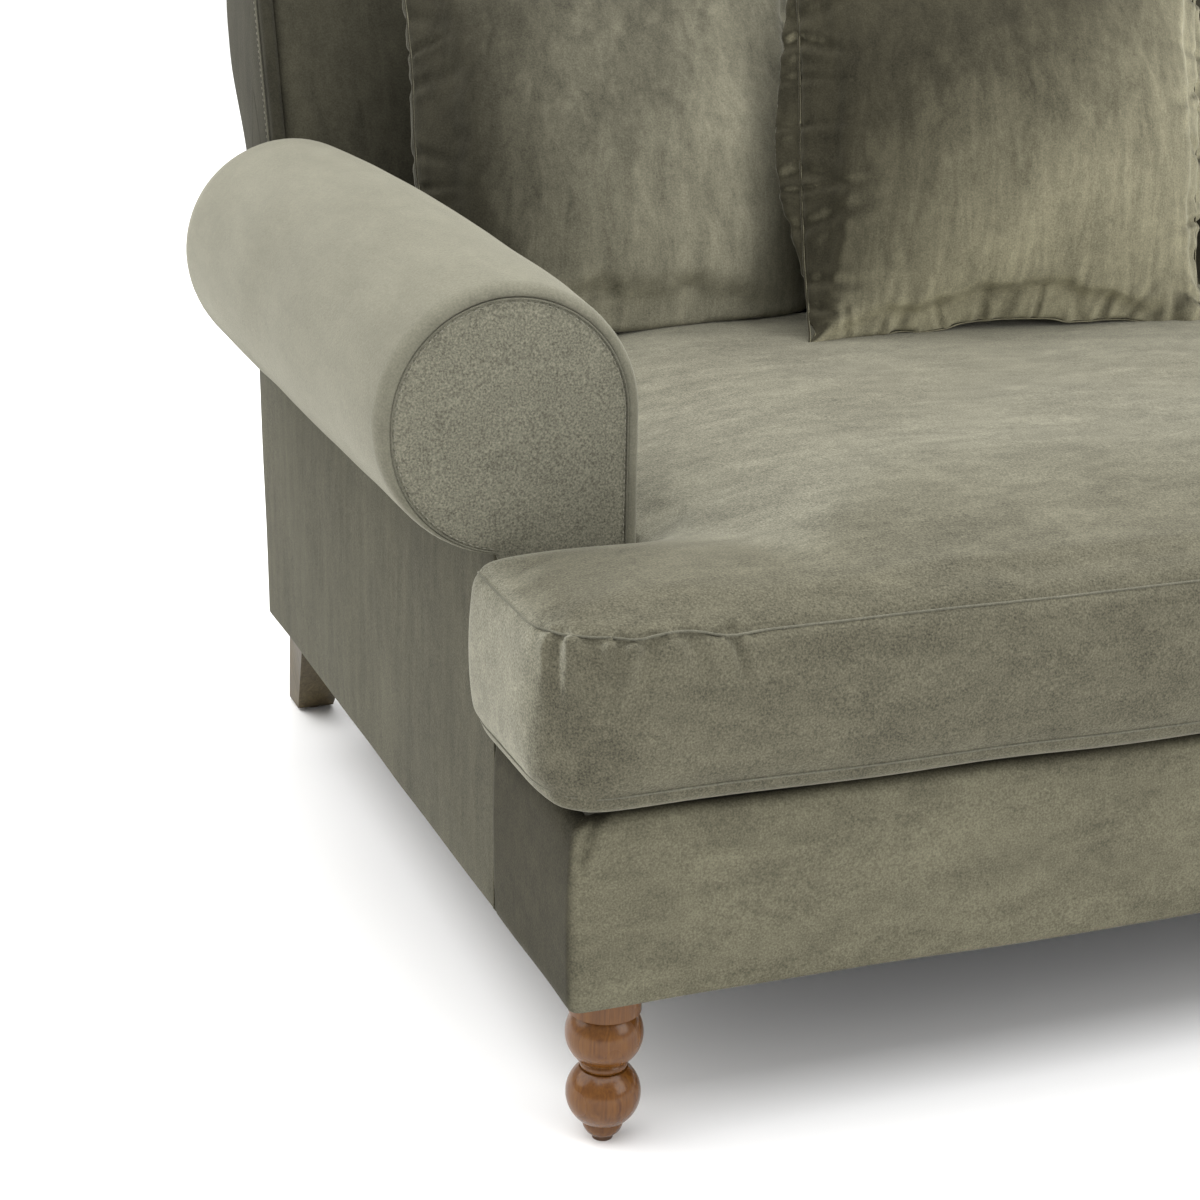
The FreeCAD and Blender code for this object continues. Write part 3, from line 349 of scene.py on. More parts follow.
# Painted light: the rear legs' olive wood is the feet's wood as warm light falls on it.
REAR_WOOD_AS_LIT = wood("raked_foot_wood", (0.026, 0.020, 0.010), (0.130, 0.100, 0.050), 0.45, 0.0)
FRAME_WOOD = wood("sawn_frame_wood", (0.30, 0.20, 0.11), (0.52, 0.38, 0.23), 0.55, 0.0)
DECK_CLOTH = cloth("deck_cloth", (0.035, 0.033, 0.025), (0.065, 0.061, 0.046), 700.0)
WEBBING = cloth("jute_webbing", (0.06, 0.05, 0.035), (0.20, 0.17, 0.12), 260.0)
DUST_CLOTH = cloth("dust_cloth", (0.012, 0.012, 0.012), (0.035, 0.034, 0.032), 900.0)
FOAM = cloth("filling_foam", (0.62, 0.58, 0.45), (0.80, 0.76, 0.62), 300.0)
STEEL = hard("blackened_steel", (0.055, 0.055, 0.057), (0.105, 0.105, 0.108), 0.46, 1.0)
GLIDE = hard("glide_plastic", (0.050, 0.022, 0.009), (0.105, 0.048, 0.020), 0.5, 0.0)

SLOT_MATERIALS = {
    "velvet": SEAM_VELVET,
    "foot_wood": FOOT_WOOD,
    "frame_wood": FRAME_WOOD,
    "deck_board": DECK_CLOTH,
    "webbing": WEBBING,
    "dust_cloth": DUST_CLOTH,
    "filling": FOAM,
    "steel": STEEL,
    "glide": GLIDE,
}


def paint_solids():
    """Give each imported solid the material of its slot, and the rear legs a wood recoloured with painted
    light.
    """
    for part in frame["record"]["subparts"]:
        mesh = NODES[part["node"]].data
        mesh.materials.clear()
        mesh.materials.append(SLOT_MATERIALS[part["material_slot"]])
    for name in ("rear_left_leg", "rear_right_leg"):
        NODES[name].data.materials[0] = REAR_WOOD_AS_LIT


# Mesh helpers

MIRROR = np.array([-1, 1, 1])
SIDES = (("left", False), ("right", True))


def new_object(name, points, faces):
    """A smooth-shaded closed mesh with its normals outwards."""
    mesh = bpy.data.meshes.new(name)
    mesh.from_pydata([tuple(point) for point in points], [], faces)
    work = bmesh.new()
    work.from_mesh(mesh)
    bmesh.ops.recalc_face_normals(work, faces=work.faces)
    work.to_mesh(mesh)
    work.free()
    obj = bpy.data.objects.new(name, mesh)
    SCENE.collection.objects.link(obj)
    smooth(obj)
    return obj


def smooth(obj):
    """Shade a piece smooth."""
    obj.data.polygons.foreach_set("use_smooth", [True] * len(obj.data.polygons))
    obj.data.update()


def loop_faces(rows, count, start=0):
    """Quads between closed loops of points."""
    faces = []
    for row in range(rows - 1):
        for column in range(count):
            after = (column + 1) % count
            low = start + row * count
            faces.append((low + column, low + after, low + count + after, low + count + column))
    return faces


def loft(name, loops, mirror=False):
    """A closed skin over closed loops, capped at both ends; mirror puts it on the other side."""
    loops = np.array(loops, float)
    if mirror:
        loops = loops * MIRROR
    rows, count = loops.shape[:2]
    points = loops.reshape(-1, 3).tolist()
    faces = loop_faces(rows, count)
    for row in (0, rows - 1):
        centre = len(points)
        points.append(loops[row].mean(0).tolist())
        faces += [(row * count + c, row * count + (c + 1) % count, centre) for c in range(count)]
    return new_object(name, points, faces)


def distances(path):
    """How far along a path each of its points lies."""
    steps = np.linalg.norm(np.diff(path, axis=0), axis=1)
    return np.concatenate([[0], np.cumsum(steps)])


def resample(points, spacing, closed=False):
    """Points at even steps along a path."""
    points = np.array(points, float)
    if closed:
        points = np.vstack([points, points[:1]])
    along = distances(points)
    count = max(2, int(round(along[-1] / spacing)))
    wanted = np.linspace(0, along[-1], count + 1)
    if closed:
        wanted = wanted[:-1]
    return np.stack([np.interp(wanted, along, points[:, axis]) for axis in range(points.shape[1])], 1)


def softened(path, times):
    """A path with its inner points drawn towards their neighbours."""
    for _ in range(times):
        path[1:-1] = (path[:-2] + 2 * path[1:-1] + path[2:]) / 4
    return path


def both_halves(half):
    """A plan from its left half, which ends at the middle."""
    return np.vstack([half, half[:-1][::-1] * np.array([-1, 1])])


def unit(vectors):
    """Vectors made one long."""
    return vectors / np.linalg.norm(vectors, axis=1)[:, None]


def beside(path):
    """Unit vectors to the left of a flat open path."""
    run = np.gradient(path, axis=0)
    return unit(np.stack([-run[:, 1], run[:, 0]], 1))


def inward(outline):
    """Unit vectors into a closed flat outline."""
    run = np.roll(outline, -1, 0) - np.roll(outline, 1, 0)
    side = unit(np.stack([-run[:, 1], run[:, 0]], 1))
    after = np.roll(outline, -1, 0)
    area = np.sum(outline[:, 0] * after[:, 1] - after[:, 0] * outline[:, 1])
    return side if area > 0 else -side


def arc(centre, radius, start, end, count):
    """Points of an arc between two angles in radians."""
    turns = np.linspace(start, end, count)
    return np.stack([centre[0] + radius * np.cos(turns), centre[1] + radius * np.sin(turns)], 1)


def vectors_of(mesh, kind):
    """A mesh's points or point normals as an array."""
    flat = np.zeros(len(mesh.vertices) * 3)
    mesh.vertices.foreach_get(kind, flat)
    return flat.reshape(-1, 3)


def points_of(obj):
    """A piece's points."""
    return vectors_of(obj.data, "co")


def normals_of(obj):
    """A piece's point normals."""
    return vectors_of(obj.data, "normal")


def put(obj, points):
    """Move a mesh's points."""
    obj.data.vertices.foreach_set("co", np.asarray(points, float).ravel())
    obj.data.update()


def wobble(obj, amount, size, seed):
    """Soft unevenness of padding under a cover."""
    points = points_of(obj)
    shift = [noise.noise(Vector(point / size) + Vector((seed, seed * 2, 0))) for point in points]
    put(obj, points + normals_of(obj) * np.array(shift)[:, None] * amount)


def nearest_on(path, points):
    """For each point, its distance to a path and how far along the path that is."""
    along = distances(path)
    tree = KDTree(len(path))
    for number, place in enumerate(path):
        tree.insert(place, number)
    tree.balance()
    found = [tree.find(point)[1:] for point in points]
    where = along[[number for number, _ in found]]
    return np.array([gap for _, gap in found]), where


def groove(obj, path, depth, width):
    """A soft valley along a seam."""
    points = points_of(obj)
    gap, _ = nearest_on(resample(path, 0.004), points)
    put(obj, points - normals_of(obj) * (depth * np.exp(-(gap / width) ** 2))[:, None])


def tucks(obj, path, places, depth, width, length, below=None):
    """Short gathers that run off a seam, at places in metres along it, all round or only below a height."""
    points = points_of(obj)
    gap, where = nearest_on(resample(path, 0.002), points)
    shift = np.zeros(len(points))
    fade = np.exp(-(gap / length) ** 1.5) * np.clip(gap / 0.004, 0.35, 1)
    if below is not None:
        fade = fade * (points[:, 2] < below)
    for number, place in enumerate(places):
        lean = 0.35 * math.sin(1.7 * number)
        across = (where - place - lean * gap) / (width * (1 + 0.35 * math.sin(2.3 * number)))
        strength = 1 + 0.4 * math.sin(3.1 * number)
        ridge = np.exp(-(np.abs(across) - 1.7) ** 2)
        shift += strength * (0.55 * ridge - np.exp(-across**2))
    put(obj, points + normals_of(obj) * (depth * shift * fade)[:, None])


def dress(obj, look, body, nodes=()):
    """Give a piece its material and body, and hide the imported solids that it stands for."""
    obj.data.materials.clear()
    obj.data.materials.append(look)
    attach(obj, body)
    if nodes:
        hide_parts(*nodes)
    return obj


def tube(path, radius, count=6):
    """Loops of a thin round cord along a path."""
    path = np.array(path, float)
    run = unit(np.gradient(path, axis=0))
    aslant = np.array([0.31, 0.22, 0.92])
    side = unit(np.cross(run, aslant))
    other = np.cross(run, side)
    turns = np.linspace(0, 2 * math.pi, count, endpoint=False)
    loops = [path + radius * (math.cos(turn) * side + math.sin(turn) * other) for turn in turns]
    return np.stack(loops, 1)


def seam(name, path, radius, body, mirror=False, look=SEAM_VELVET):
    """A sewn seam's narrow ridge."""
    return dress(loft(name, tube(path, radius), mirror), look, body)


STITCH_PITCH = 0.0065
STITCH_LENGTH = 0.003
THREAD_RADIUS = 0.0004


def stitches(name, path, mirror):
    """A row of short threads with narrow ends along a seam."""
    step = 0.001
    around = 5
    narrow = 0.3
    path = resample(path, step)
    points = []
    faces = []
    reach = int(STITCH_LENGTH / step)
    for start in range(0, len(path) - reach, int(STITCH_PITCH / step)):
        loops = tube(path[start:start + reach + 1], THREAD_RADIUS, around)
        for end in (0, -1):
            middle = loops[end].mean(0)
            loops[end] = middle + narrow * (loops[end] - middle)
        first = len(points)
        last = first + reach * around
        points += loops.reshape(-1, 3).tolist()
        faces += loop_faces(len(loops), around, first)
        faces.append(tuple(range(first, first + around)))
        faces.append(tuple(range(last, last + around)))
    points = np.array(points)
    if mirror:
        points = points * MIRROR
    return dress(new_object(name, points, faces), THREAD, "frame")


def panel(name, outline, centre, place, look, node_name, mirror, crown, depth, edge, rings):
    """A padded panel: a rounded edge, a soft crown and a flat back, over a flat outline."""
    outline = np.array(outline)
    inside = inward(outline)
    centre = np.array(centre)
    loops = [[place(u, v, -depth) for u, v in outline + inside * 0.002]]
    loops.append([place(u, v, -edge) for u, v in outline])
    for turn in (25, 50, 75):
        inset = edge * (1 - math.cos(math.radians(turn)))
        rise = edge * (math.sin(math.radians(turn)) - 1)
        loops.append([place(u, v, rise) for u, v in outline + inside * inset])
    rim = outline + inside * edge
    for share in np.linspace(1, 0, rings, endpoint=False):
        rise = crown * (1 - share**2.5)
        loops.append([place(u, v, rise) for u, v in centre + (rim - centre) * share])
    return dress(loft(name, loops, mirror), look, "frame", [node_name])


def on_the_side(y, z, rise):
    """A place on the left side of the base or the back, standing out by rise."""
    return (-HALF_WIDTH - rise, y, z)


def on_the_facing(u, z, rise):
    """A place on the left arm's front, at u from the base's side, standing out by rise."""
    return (-HALF_WIDTH + u, FACING + 0.0006 - rise, z)


# Rolled arms: the cover over the roll, its rounded front edge and its domed rear end.

LIP = 0.011
UNDER_COUNT = 18


def lip_share():
    """How wide the lip is along the roll's outline, narrowing under the roll to the crease."""
    whole = len(roll_outline(0.0, BASE_TOP - 0.006)) - UNDER_COUNT + 1
    return np.concatenate([np.ones(whole), np.linspace(1, 0.15, UNDER_COUNT)[1:]])


def roll_outline(swell, low):
    """Front view of the arm's cover, from the foot of its inner side over the roll to the crease."""
    rows = 24
    inner = np.stack([np.full(rows, ARM_WIDTH), np.linspace(low, ROLL_HEIGHT, rows)], 1)
    turns = np.linspace(0, math.pi, 42)
    top = np.stack([ROLL_MIDDLE + ROLL_RADIUS * np.cos(turns),
                    ROLL_HEIGHT + (ROLL_RADIUS + swell) * np.sin(turns)], 1)
    crease = math.pi + math.acos(ROLL_MIDDLE / ROLL_RADIUS)
    under = arc((ROLL_MIDDLE, ROLL_HEIGHT), ROLL_RADIUS, math.pi, crease, UNDER_COUNT)
    return np.vstack([inner[:-1], top, under[1:]])


def roll_swell(y):
    """How far the top of the roll rises along the arm."""
    share = (y - FACING) / (ROLL_END - FACING)
    return ROLL_SWELL * math.sin(math.pi * min(max(share, 0), 1)) ** 0.8


def roll_loop(y, inset, scale=1.0):
    """One closed loop of the arm's cover."""
    outline = roll_outline(roll_swell(y), BASE_TOP - 0.006)
    outline = outline + beside(outline) * (inset * lip_share())[:, None]
    middle = np.array([ROLL_MIDDLE, ROLL_HEIGHT])
    outline = middle + (outline - middle) * scale
    heights = np.linspace(outline[-1, 1], outline[0, 1], 7)
    under_cover = 0.016
    loop = np.vstack([outline, np.stack([np.full(len(heights), under_cover), heights], 1)])
    hidden = max(y, FACING + 0.012)
    seen = len(outline)
    return [(-HALF_WIDTH + u, y if n < seen else hidden, z) for n, (u, z) in enumerate(loop)]


def arm_roll(side, mirror):
    """The arm's cover; front is its rounded edge, in steps from the facing and from the outline."""
    front = [(0.0030, LIP + 0.002), (0.0012, LIP), (-0.0006, LIP - 0.003), (-0.0002, LIP - 0.006),
             (0.0030, 0.0022), (0.0075, 0.0004), (0.0130, 0.0)]
    loops = [roll_loop(FACING + step, inset) for step, inset in front]
    dome, fall = 0.078, 0.052
    shoulder = ROLL_END - dome
    loops += [roll_loop(y, 0.0) for y in np.linspace(FACING + 0.03, shoulder, 46)]
    for turn in np.radians(np.linspace(6, 90, 16)):
        drop = fall * (1 - math.cos(turn))
        loops.append(roll_loop(shoulder + dome * math.sin(turn), 0.0, 1 - drop / ROLL_RADIUS))
    for share in (0.85, 0.6, 0.3, 0.1):
        loops.append(roll_loop(ROLL_END + 0.004 * (1 - share**2), 0.0, share * (1 - fall / ROLL_RADIUS)))
    obj = loft(side + "_arm_roll_cover", loops, mirror)
    wobble(obj, 0.0016, 0.11, seed=3 + mirror)
    return dress(obj, ROLL_VELVET, "frame", [side + "_arm_roll"])


def facing_outline():
    """Front view of the sewn-in arm facing, inside the lip of the roll's cover."""
    outline = roll_outline(0.0, BASE_TOP)
    outline = outline + beside(outline) * (LIP * lip_share())[:, None]
    gap = 0.0015
    left = [(gap, outline[-1, 1] - 0.004), (gap, BASE_TOP)]
    return resample(np.vstack([outline, left]), 0.006, True)


def facing_line(inset, sunk):
    """A path on the left arm's front, just inside the lip of the roll's cover."""
    path = roll_outline(0.0, BASE_TOP + 0.004)
    path = path + beside(path) * (LIP * lip_share() + inset)[:, None]
    return np.array([(-HALF_WIDTH + u, FACING + sunk, z) for u, z in path])


def arm_facing(side, mirror):
    """The padded front of the arm, its seam and its row of stitches."""
    middle = (0.052, 0.455)
    panel(side + "_arm_facing_panel", facing_outline(), middle, on_the_facing, FACING_VELVET,
          side + "_arm_facing", mirror, crown=0.004, depth=0.008, edge=0.0022, rings=16)
    line = resample(facing_line(0.0004, 0.0002), 0.006)
    seam(side + "_arm_facing_seam", line, 0.0009, "frame", mirror)
    stitches(side + "_arm_facing_stitches", facing_line(0.0030, -0.0004), mirror)


def outer_arm(side, mirror):
    """The flat panel outside the arm."""
    gap = 0.0012
    foot, top = LEG_HEIGHT + 0.001, CREASE_HEIGHT + 0.004
    corners = [(FACING + gap, foot), (REAR_FOOT - gap, foot),
               (back_rear(CREASE_HEIGHT) - gap, top), (FACING + gap, top)]
    middle = (0.04, 0.28)
    outline = resample(corners, 0.012, True)
    obj = panel(side + "_outer_arm_panel", outline, middle, on_the_side, PANEL_VELVET,
                side + "_outer_arm", mirror, crown=0.003, depth=0.012, edge=0.004, rings=24)
    wobble(obj, 0.0014, 0.13, seed=11 + mirror)


# Base border


def border_path():
    """Plan of the base's front: points, outward directions, and distance along the front from the corner."""
    radius = 0.009
    inner = (-HALF_WIDTH + radius, FRONT + radius)
    left = [(-HALF_WIDTH, FACING - 0.001)]
    turn = arc(inner, radius, math.pi, 1.5 * math.pi, 9)
    points = resample(both_halves(np.vstack([left, turn, [(0, FRONT)]])), 0.0025)
    from_corner = (HALF_WIDTH - np.abs(points[:, 0])) - (points[:, 1] - FRONT)
    return points, -beside(points), from_corner


FOLD_FOOT = 0.246
DRAW_FOOT = 0.232


def corner_fold(gap, z):
    """How far the border stands out at a distance from its corner: a fold that runs up and in."""
    share = np.clip((z - FOLD_FOOT) / (BASE_TOP - FOLD_FOOT), 0, 1)
    place = 0.002 + 0.014 * share
    valley_depth = 0.0060 - 0.0020 * share
    valley = np.exp(-((gap - place) / 0.0040) ** 2)
    ridge_height = 0.0024
    ridge = np.exp(-((gap - place - 0.0095) / 0.0060) ** 2)
    return min(1, 3 * share) * (ridge_height * ridge - valley_depth * valley)


def front_border():
    """The padded strip round the front of the base, drawn in and folded at its upper corners."""
    profile = [(-0.012, LEG_HEIGHT + 0.0012), (-0.004, LEG_HEIGHT), (-0.0012, LEG_HEIGHT + 0.0015),
               (0.0, LEG_HEIGHT + 0.005)]
    for share in np.linspace(0.06, 0.86, 34):
        profile.append((0.0022 * math.sin(math.pi * share), LEG_HEIGHT + share * (BASE_TOP - LEG_HEIGHT)))
    edge = 0.012
    for turn in np.radians((15, 35, 55, 75, 90)):
        inset = edge * (1 - math.cos(turn))
        profile.append((-inset, BASE_TOP - 0.0125 + edge * math.sin(turn)))
    profile.append((-0.013, BASE_TOP - 0.004))
    loops = []
    for point, way, gap in zip(*border_path()):
        near = math.exp(-(gap / 0.028) ** 2)
        loop = []
        for out, z in profile:
            high = max(0, (z - DRAW_FOOT) / (BASE_TOP - DRAW_FOOT))
            drawn = 0.0045 * near * high**1.6 * np.array([-np.sign(point[0]), 1]) / math.sqrt(2)
            loop.append((*(point + way * (out + corner_fold(gap, z)) + drawn), z - 0.003 * near * high))
        loops.append(loop)
    obj = loft("front_border_cover", loops)
    wobble(obj, 0.0016, 0.12, seed=21)
    dress(obj, BORDER_VELVET, "frame", ["front_border"])
    heights = np.linspace(LEG_HEIGHT + 0.006, BASE_TOP - 0.008, 24)
    line = [(-HALF_WIDTH - 0.0008, FACING, z) for z in heights]
    for side, mirror in SIDES:
        seam(side + "_border_seam", line, 0.0008, "frame", mirror, PANEL_VELVET)


# Back: the reclined inside back with its roll, the end panels and the outside back.

BACK_END = HALF_WIDTH - 0.012
BACK_LOW = 0.284
FLARE_ANGLE = math.radians(-22)
FLARE = BACK_ROLL + BACK_RADIUS * np.array([math.cos(FLARE_ANGLE), math.sin(FLARE_ANGLE)])


def over_the_roll(count):
    """Side view of the rolled top, from its front tangent to where the outside back takes over behind."""
    return arc(BACK_ROLL, BACK_RADIUS, math.pi - RECLINE, FLARE_ANGLE, count)


def rear_curve():
    """Side view of the outside back, flaring out to the roll."""
    slope = [(back_rear(z), z) for z in (LEG_HEIGHT, 0.40, 0.54)]
    hollow = np.array([(-0.0095, -0.1670), (0.0065, -0.1360), (0.0344, -0.1064), (0.0615, -0.0720)])
    return softened(resample(np.vstack([slope, BACK_ROLL + hollow, [FLARE]]), 0.008), 8)


def inside_back():
    """The cover over the front of the back and its roll."""
    round_end, drawn = 0.010, 0.006
    front = resample([(back_front(BACK_LOW), BACK_LOW), TANGENT], 0.014)
    hidden = [FLARE, BACK_ROLL + (0.0515, -0.048), (CREASE[0] - 0.02, 0.70),
              (back_front(BACK_LOW) + 0.02, BACK_LOW)]
    outline = np.vstack([front[:-1], over_the_roll(40), resample(hidden, 0.04)[1:]])
    loops = []
    for x in np.linspace(-BACK_END, BACK_END, 96):
        edge = max(0, abs(x) - BACK_END + round_end) / round_end
        inset = drawn * (1 - math.sqrt(max(0, 1 - edge**2)))
        loops.append([(x, y, z) for y, z in outline + inward(outline) * inset])
    obj = loft("inside_back_cover", loops)
    wobble(obj, 0.0022, 0.14, seed=31)
    dress(obj, BACK_VELVET, "frame", ["inside_back"])


def back_side_outline():
    """Side view of the back's end panel."""
    low = BACK_SIDE_FOOT
    front = resample([(back_front(low), low), TANGENT], 0.01)
    rear = rear_curve()[::-1]
    rear = rear[rear[:, 1] > low]
    return resample(np.vstack([front[:-1], over_the_roll(50), rear[1:]]), 0.006, True)


def back_side(side, mirror):
    """The padded end panel of the back, with a seam and stitches up its front edge."""
    outline = back_side_outline()
    middle = (0.432, 0.70)
    obj = panel(side + "_back_side_panel", outline, middle, on_the_side, SHADED_SIDE_VELVET,
                side + "_back_side", mirror, crown=0.003, depth=0.013, edge=0.005, rings=16)
    wobble(obj, 0.0012, 0.09, seed=41 + mirror)
    line = outline + inward(outline) * 0.011
    depths, heights = line.T
    low, high = 0.50, 0.80
    front = line[(heights > low) & (heights < high) & (depths < back_front(heights) + 0.03)]
    front = front[np.argsort(front[:, 1])]
    path = [(-HALF_WIDTH - 0.0022, y, z) for y, z in front]
    seam(side + "_back_side_seam", path, 0.0012, "frame", mirror)
    path = [(-HALF_WIDTH - 0.0030, y + 0.004, z) for y, z in front]
    stitches(side + "_back_side_stitches", path, mirror)


def outside_back():
    """The panel behind, from the base up to the roll, with rounded edges."""
    half, edge, depth, margin = 0.7255, 0.003, 0.008, 0.012
    curve = rear_curve()
    length = distances(curve)[-1]
    near = np.array([0, 0.0004, 0.0012, edge])
    shares = np.concatenate([near / length, np.linspace(margin, 1 - margin, 86), (1 - near / length)[::-1]])
    curve = np.stack([np.interp(shares, np.linspace(0, 1, len(curve)), line) for line in curve.T], 1)
    outward = -beside(curve)
    across = np.concatenate([near - half, np.linspace(margin - half, half - margin, 96), (half - near)[::-1]])
    loops = []
    for x in across:
        gap = np.minimum(np.minimum(shares, 1 - shares) * length, half - abs(x))
        rise = edge * (np.sqrt(1 - np.clip(1 - gap / edge, 0, 1) ** 2) - 1)
        loop = np.vstack([curve + outward * rise[:, None], (curve - outward * depth)[::-1]])
        loops.append([(x, y - 0.0008, z) for y, z in loop])
    count = len(curve)
    faces = loop_faces(len(loops), 2 * count)
    for first in (0, (len(loops) - 1) * 2 * count):
        faces += [(first + n, first + n + 1, first + 2 * count - 2 - n, first + 2 * count - 1 - n)
                  for n in range(count - 1)]
    obj = new_object("outside_back_panel", np.array(loops).reshape(-1, 3), faces)
    wobble(obj, 0.0012, 0.15, seed=51)
    dress(obj, PANEL_VELVET, "frame", ["outside_back"])


def dust_cover():
    """Thin cloth stretched under the base."""
    half = 0.722
    across = np.linspace(-half, half, 49)
    along = np.linspace(FRONT + 0.016, REAR_FOOT - 0.012, 33)
    points = []
    for x in across:
        for y in along:
            sag = 0.004 * (1 - (x / half) ** 2) * (1 - ((y - along.mean()) / (np.ptp(along) / 2)) ** 2)
            points.append((x, y, LEG_HEIGHT - 0.0008 - sag))
    count = len(along)
    faces = []
    for row in range(len(across) - 1):
        for column in range(count - 1):
            first = row * count + column
            faces.append((first, first + 1, first + count + 1, first + count))
    obj = new_object("dust_cover_cloth", points, faces)
    dress(obj, DUST_CLOTH, "frame", ["dust_cover"])


# Loose cushions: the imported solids, remeshed, blown up as cloth and sewn.

PRESSURE = 4.0
BLOWN_FRAMES = 20


def keep_widest(work):
    """Leave only the widest of a mesh's separate shells."""
    unseen = set(work.faces)
    shells = []
    while unseen:
        queue = [unseen.pop()]
        shell = []
        while queue:
            face = queue.pop()
            shell.append(face)
            for edge in face.edges:
                for other in edge.link_faces:
                    if other in unseen:
                        unseen.remove(other)
                        queue.append(other)
        shells.append(shell)
    spread = []
    for shell in shells:
        across = [vert.co.x for face in shell for vert in face.verts]
        spread.append(max(across) - min(across))
    kept = set(shells[int(np.argmax(spread))])
    bmesh.ops.delete(work, geom=[face for face in work.faces if face not in kept], context="FACES")


def outer_shell(name, part):
    """A new piece with the outer skin of a packed cushion."""
    work = bmesh.new()
    work.from_mesh(NODES[part].data)
    bmesh.ops.remove_doubles(work, verts=work.verts, dist=2e-5)
    keep_widest(work)
    mesh = bpy.data.meshes.new(name)
    work.to_mesh(mesh)
    work.free()
    obj = bpy.data.objects.new(name, mesh)
    SCENE.collection.objects.link(obj)
    return obj


def bake(obj):
    """Make a piece's modifiers part of its mesh."""
    graph = bpy.context.evaluated_depsgraph_get()
    mesh = bpy.data.meshes.new_from_object(obj.evaluated_get(graph))
    obj.modifiers.clear()
    old = obj.data
    obj.data = mesh
    bpy.data.meshes.remove(old)


def blown_up(obj, cap):
    """Blow a closed cover up as cloth, without gravity; each point swells by up to cap and never sinks."""
    start = points_of(obj)
    sewn = obj.modifiers.new("Cloth", "CLOTH")
    sewn.settings.quality = 4
    sewn.settings.mass = 0.3
    sewn.settings.tension_stiffness = 12
    sewn.settings.compression_stiffness = 12
    sewn.settings.shear_stiffness = 5
    sewn.settings.bending_stiffness = 0.4
    sewn.settings.use_pressure = True
    sewn.settings.uniform_pressure_force = PRESSURE
    sewn.settings.effector_weights.gravity = 0
    sewn.collision_settings.use_collision = False
    sewn.point_cache.frame_start = 1
    sewn.point_cache.frame_end = BLOWN_FRAMES
    for number in range(1, BLOWN_FRAMES + 1):
        SCENE.frame_set(number)
    graph = bpy.context.evaluated_depsgraph_get()
    blown = vectors_of(obj.evaluated_get(graph).to_mesh(), "co")
    obj.evaluated_get(graph).to_mesh_clear()
    obj.modifiers.clear()
    SCENE.frame_set(1)
    out = np.sum((blown - start) * normals_of(obj), axis=1)
    put(obj, start + normals_of(obj) * np.clip(out, 0, cap)[:, None])


def soft_cushion(name, part, cap, voxel=0.007, shrink=0.0, levels=1):
    """A cushion's cover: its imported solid's skin, remeshed, drawn in by shrink and blown up by up to cap."""
    obj = outer_shell(name, part)
    remesh = obj.modifiers.new("Remesh", "REMESH")
    remesh.mode = "VOXEL"
    remesh.voxel_size = voxel
    relax = obj.modifiers.new("Smooth", "SMOOTH")
    relax.factor = 0.5
    relax.iterations = 4
    bake(obj)
    work = bmesh.new()
    work.from_mesh(obj.data)
    keep_widest(work)
    work.to_mesh(obj.data)
    work.free()
    put(obj, points_of(obj) - normals_of(obj) * shrink)
    blown_up(obj, cap)
    fine = obj.modifiers.new("Subdivision", "SUBSURF")
    fine.levels = levels
    fine.render_levels = levels
    bake(obj)
    smooth(obj)
    return obj


def held(obj, limits):
    """Keep a cushion's points inside limits, each a number or a function of the points."""
    points = points_of(obj)
    for axis, kind, bound in limits:
        edge = bound(points) if callable(bound) else bound
        if kind == "below":
            points[:, axis] = np.minimum(points[:, axis], edge)
        else:
            points[:, axis] = np.maximum(points[:, axis], edge)
    put(obj, points)


def snapped(path, obj, lift=0.0):
    """A path laid onto the nearest skin of a piece."""
    graph = bpy.context.evaluated_depsgraph_get()
    tree = BVHTree.FromObject(obj, graph)
    laid = []
    for place in path:
        point, normal, _, _ = tree.find_nearest(Vector(place))
        laid.append(np.array(point + normal * lift))
    return softened(np.array(laid), 3)


def seat_seam(z):
    """Path of a boxing seam round the front of the seat cushion and its ears."""
    radius = 0.080
    turn = arc((-EAR_SIDE + radius, SEAT_FRONT + radius), radius, math.pi, 1.5 * math.pi, 24)
    half = np.vstack([[(-EAR_SIDE, EAR_REAR - 0.004)], turn, [(0, SEAT_FRONT)]])
    return np.array([(x, y, z) for x, y in resample(both_halves(half), 0.008)])


SEAT_FOOT = BASE_TOP + 0.0004
SEAT_SIDE = HALF_WIDTH - ARM_WIDTH - 0.0022
SEAT_REAR = 0.2384


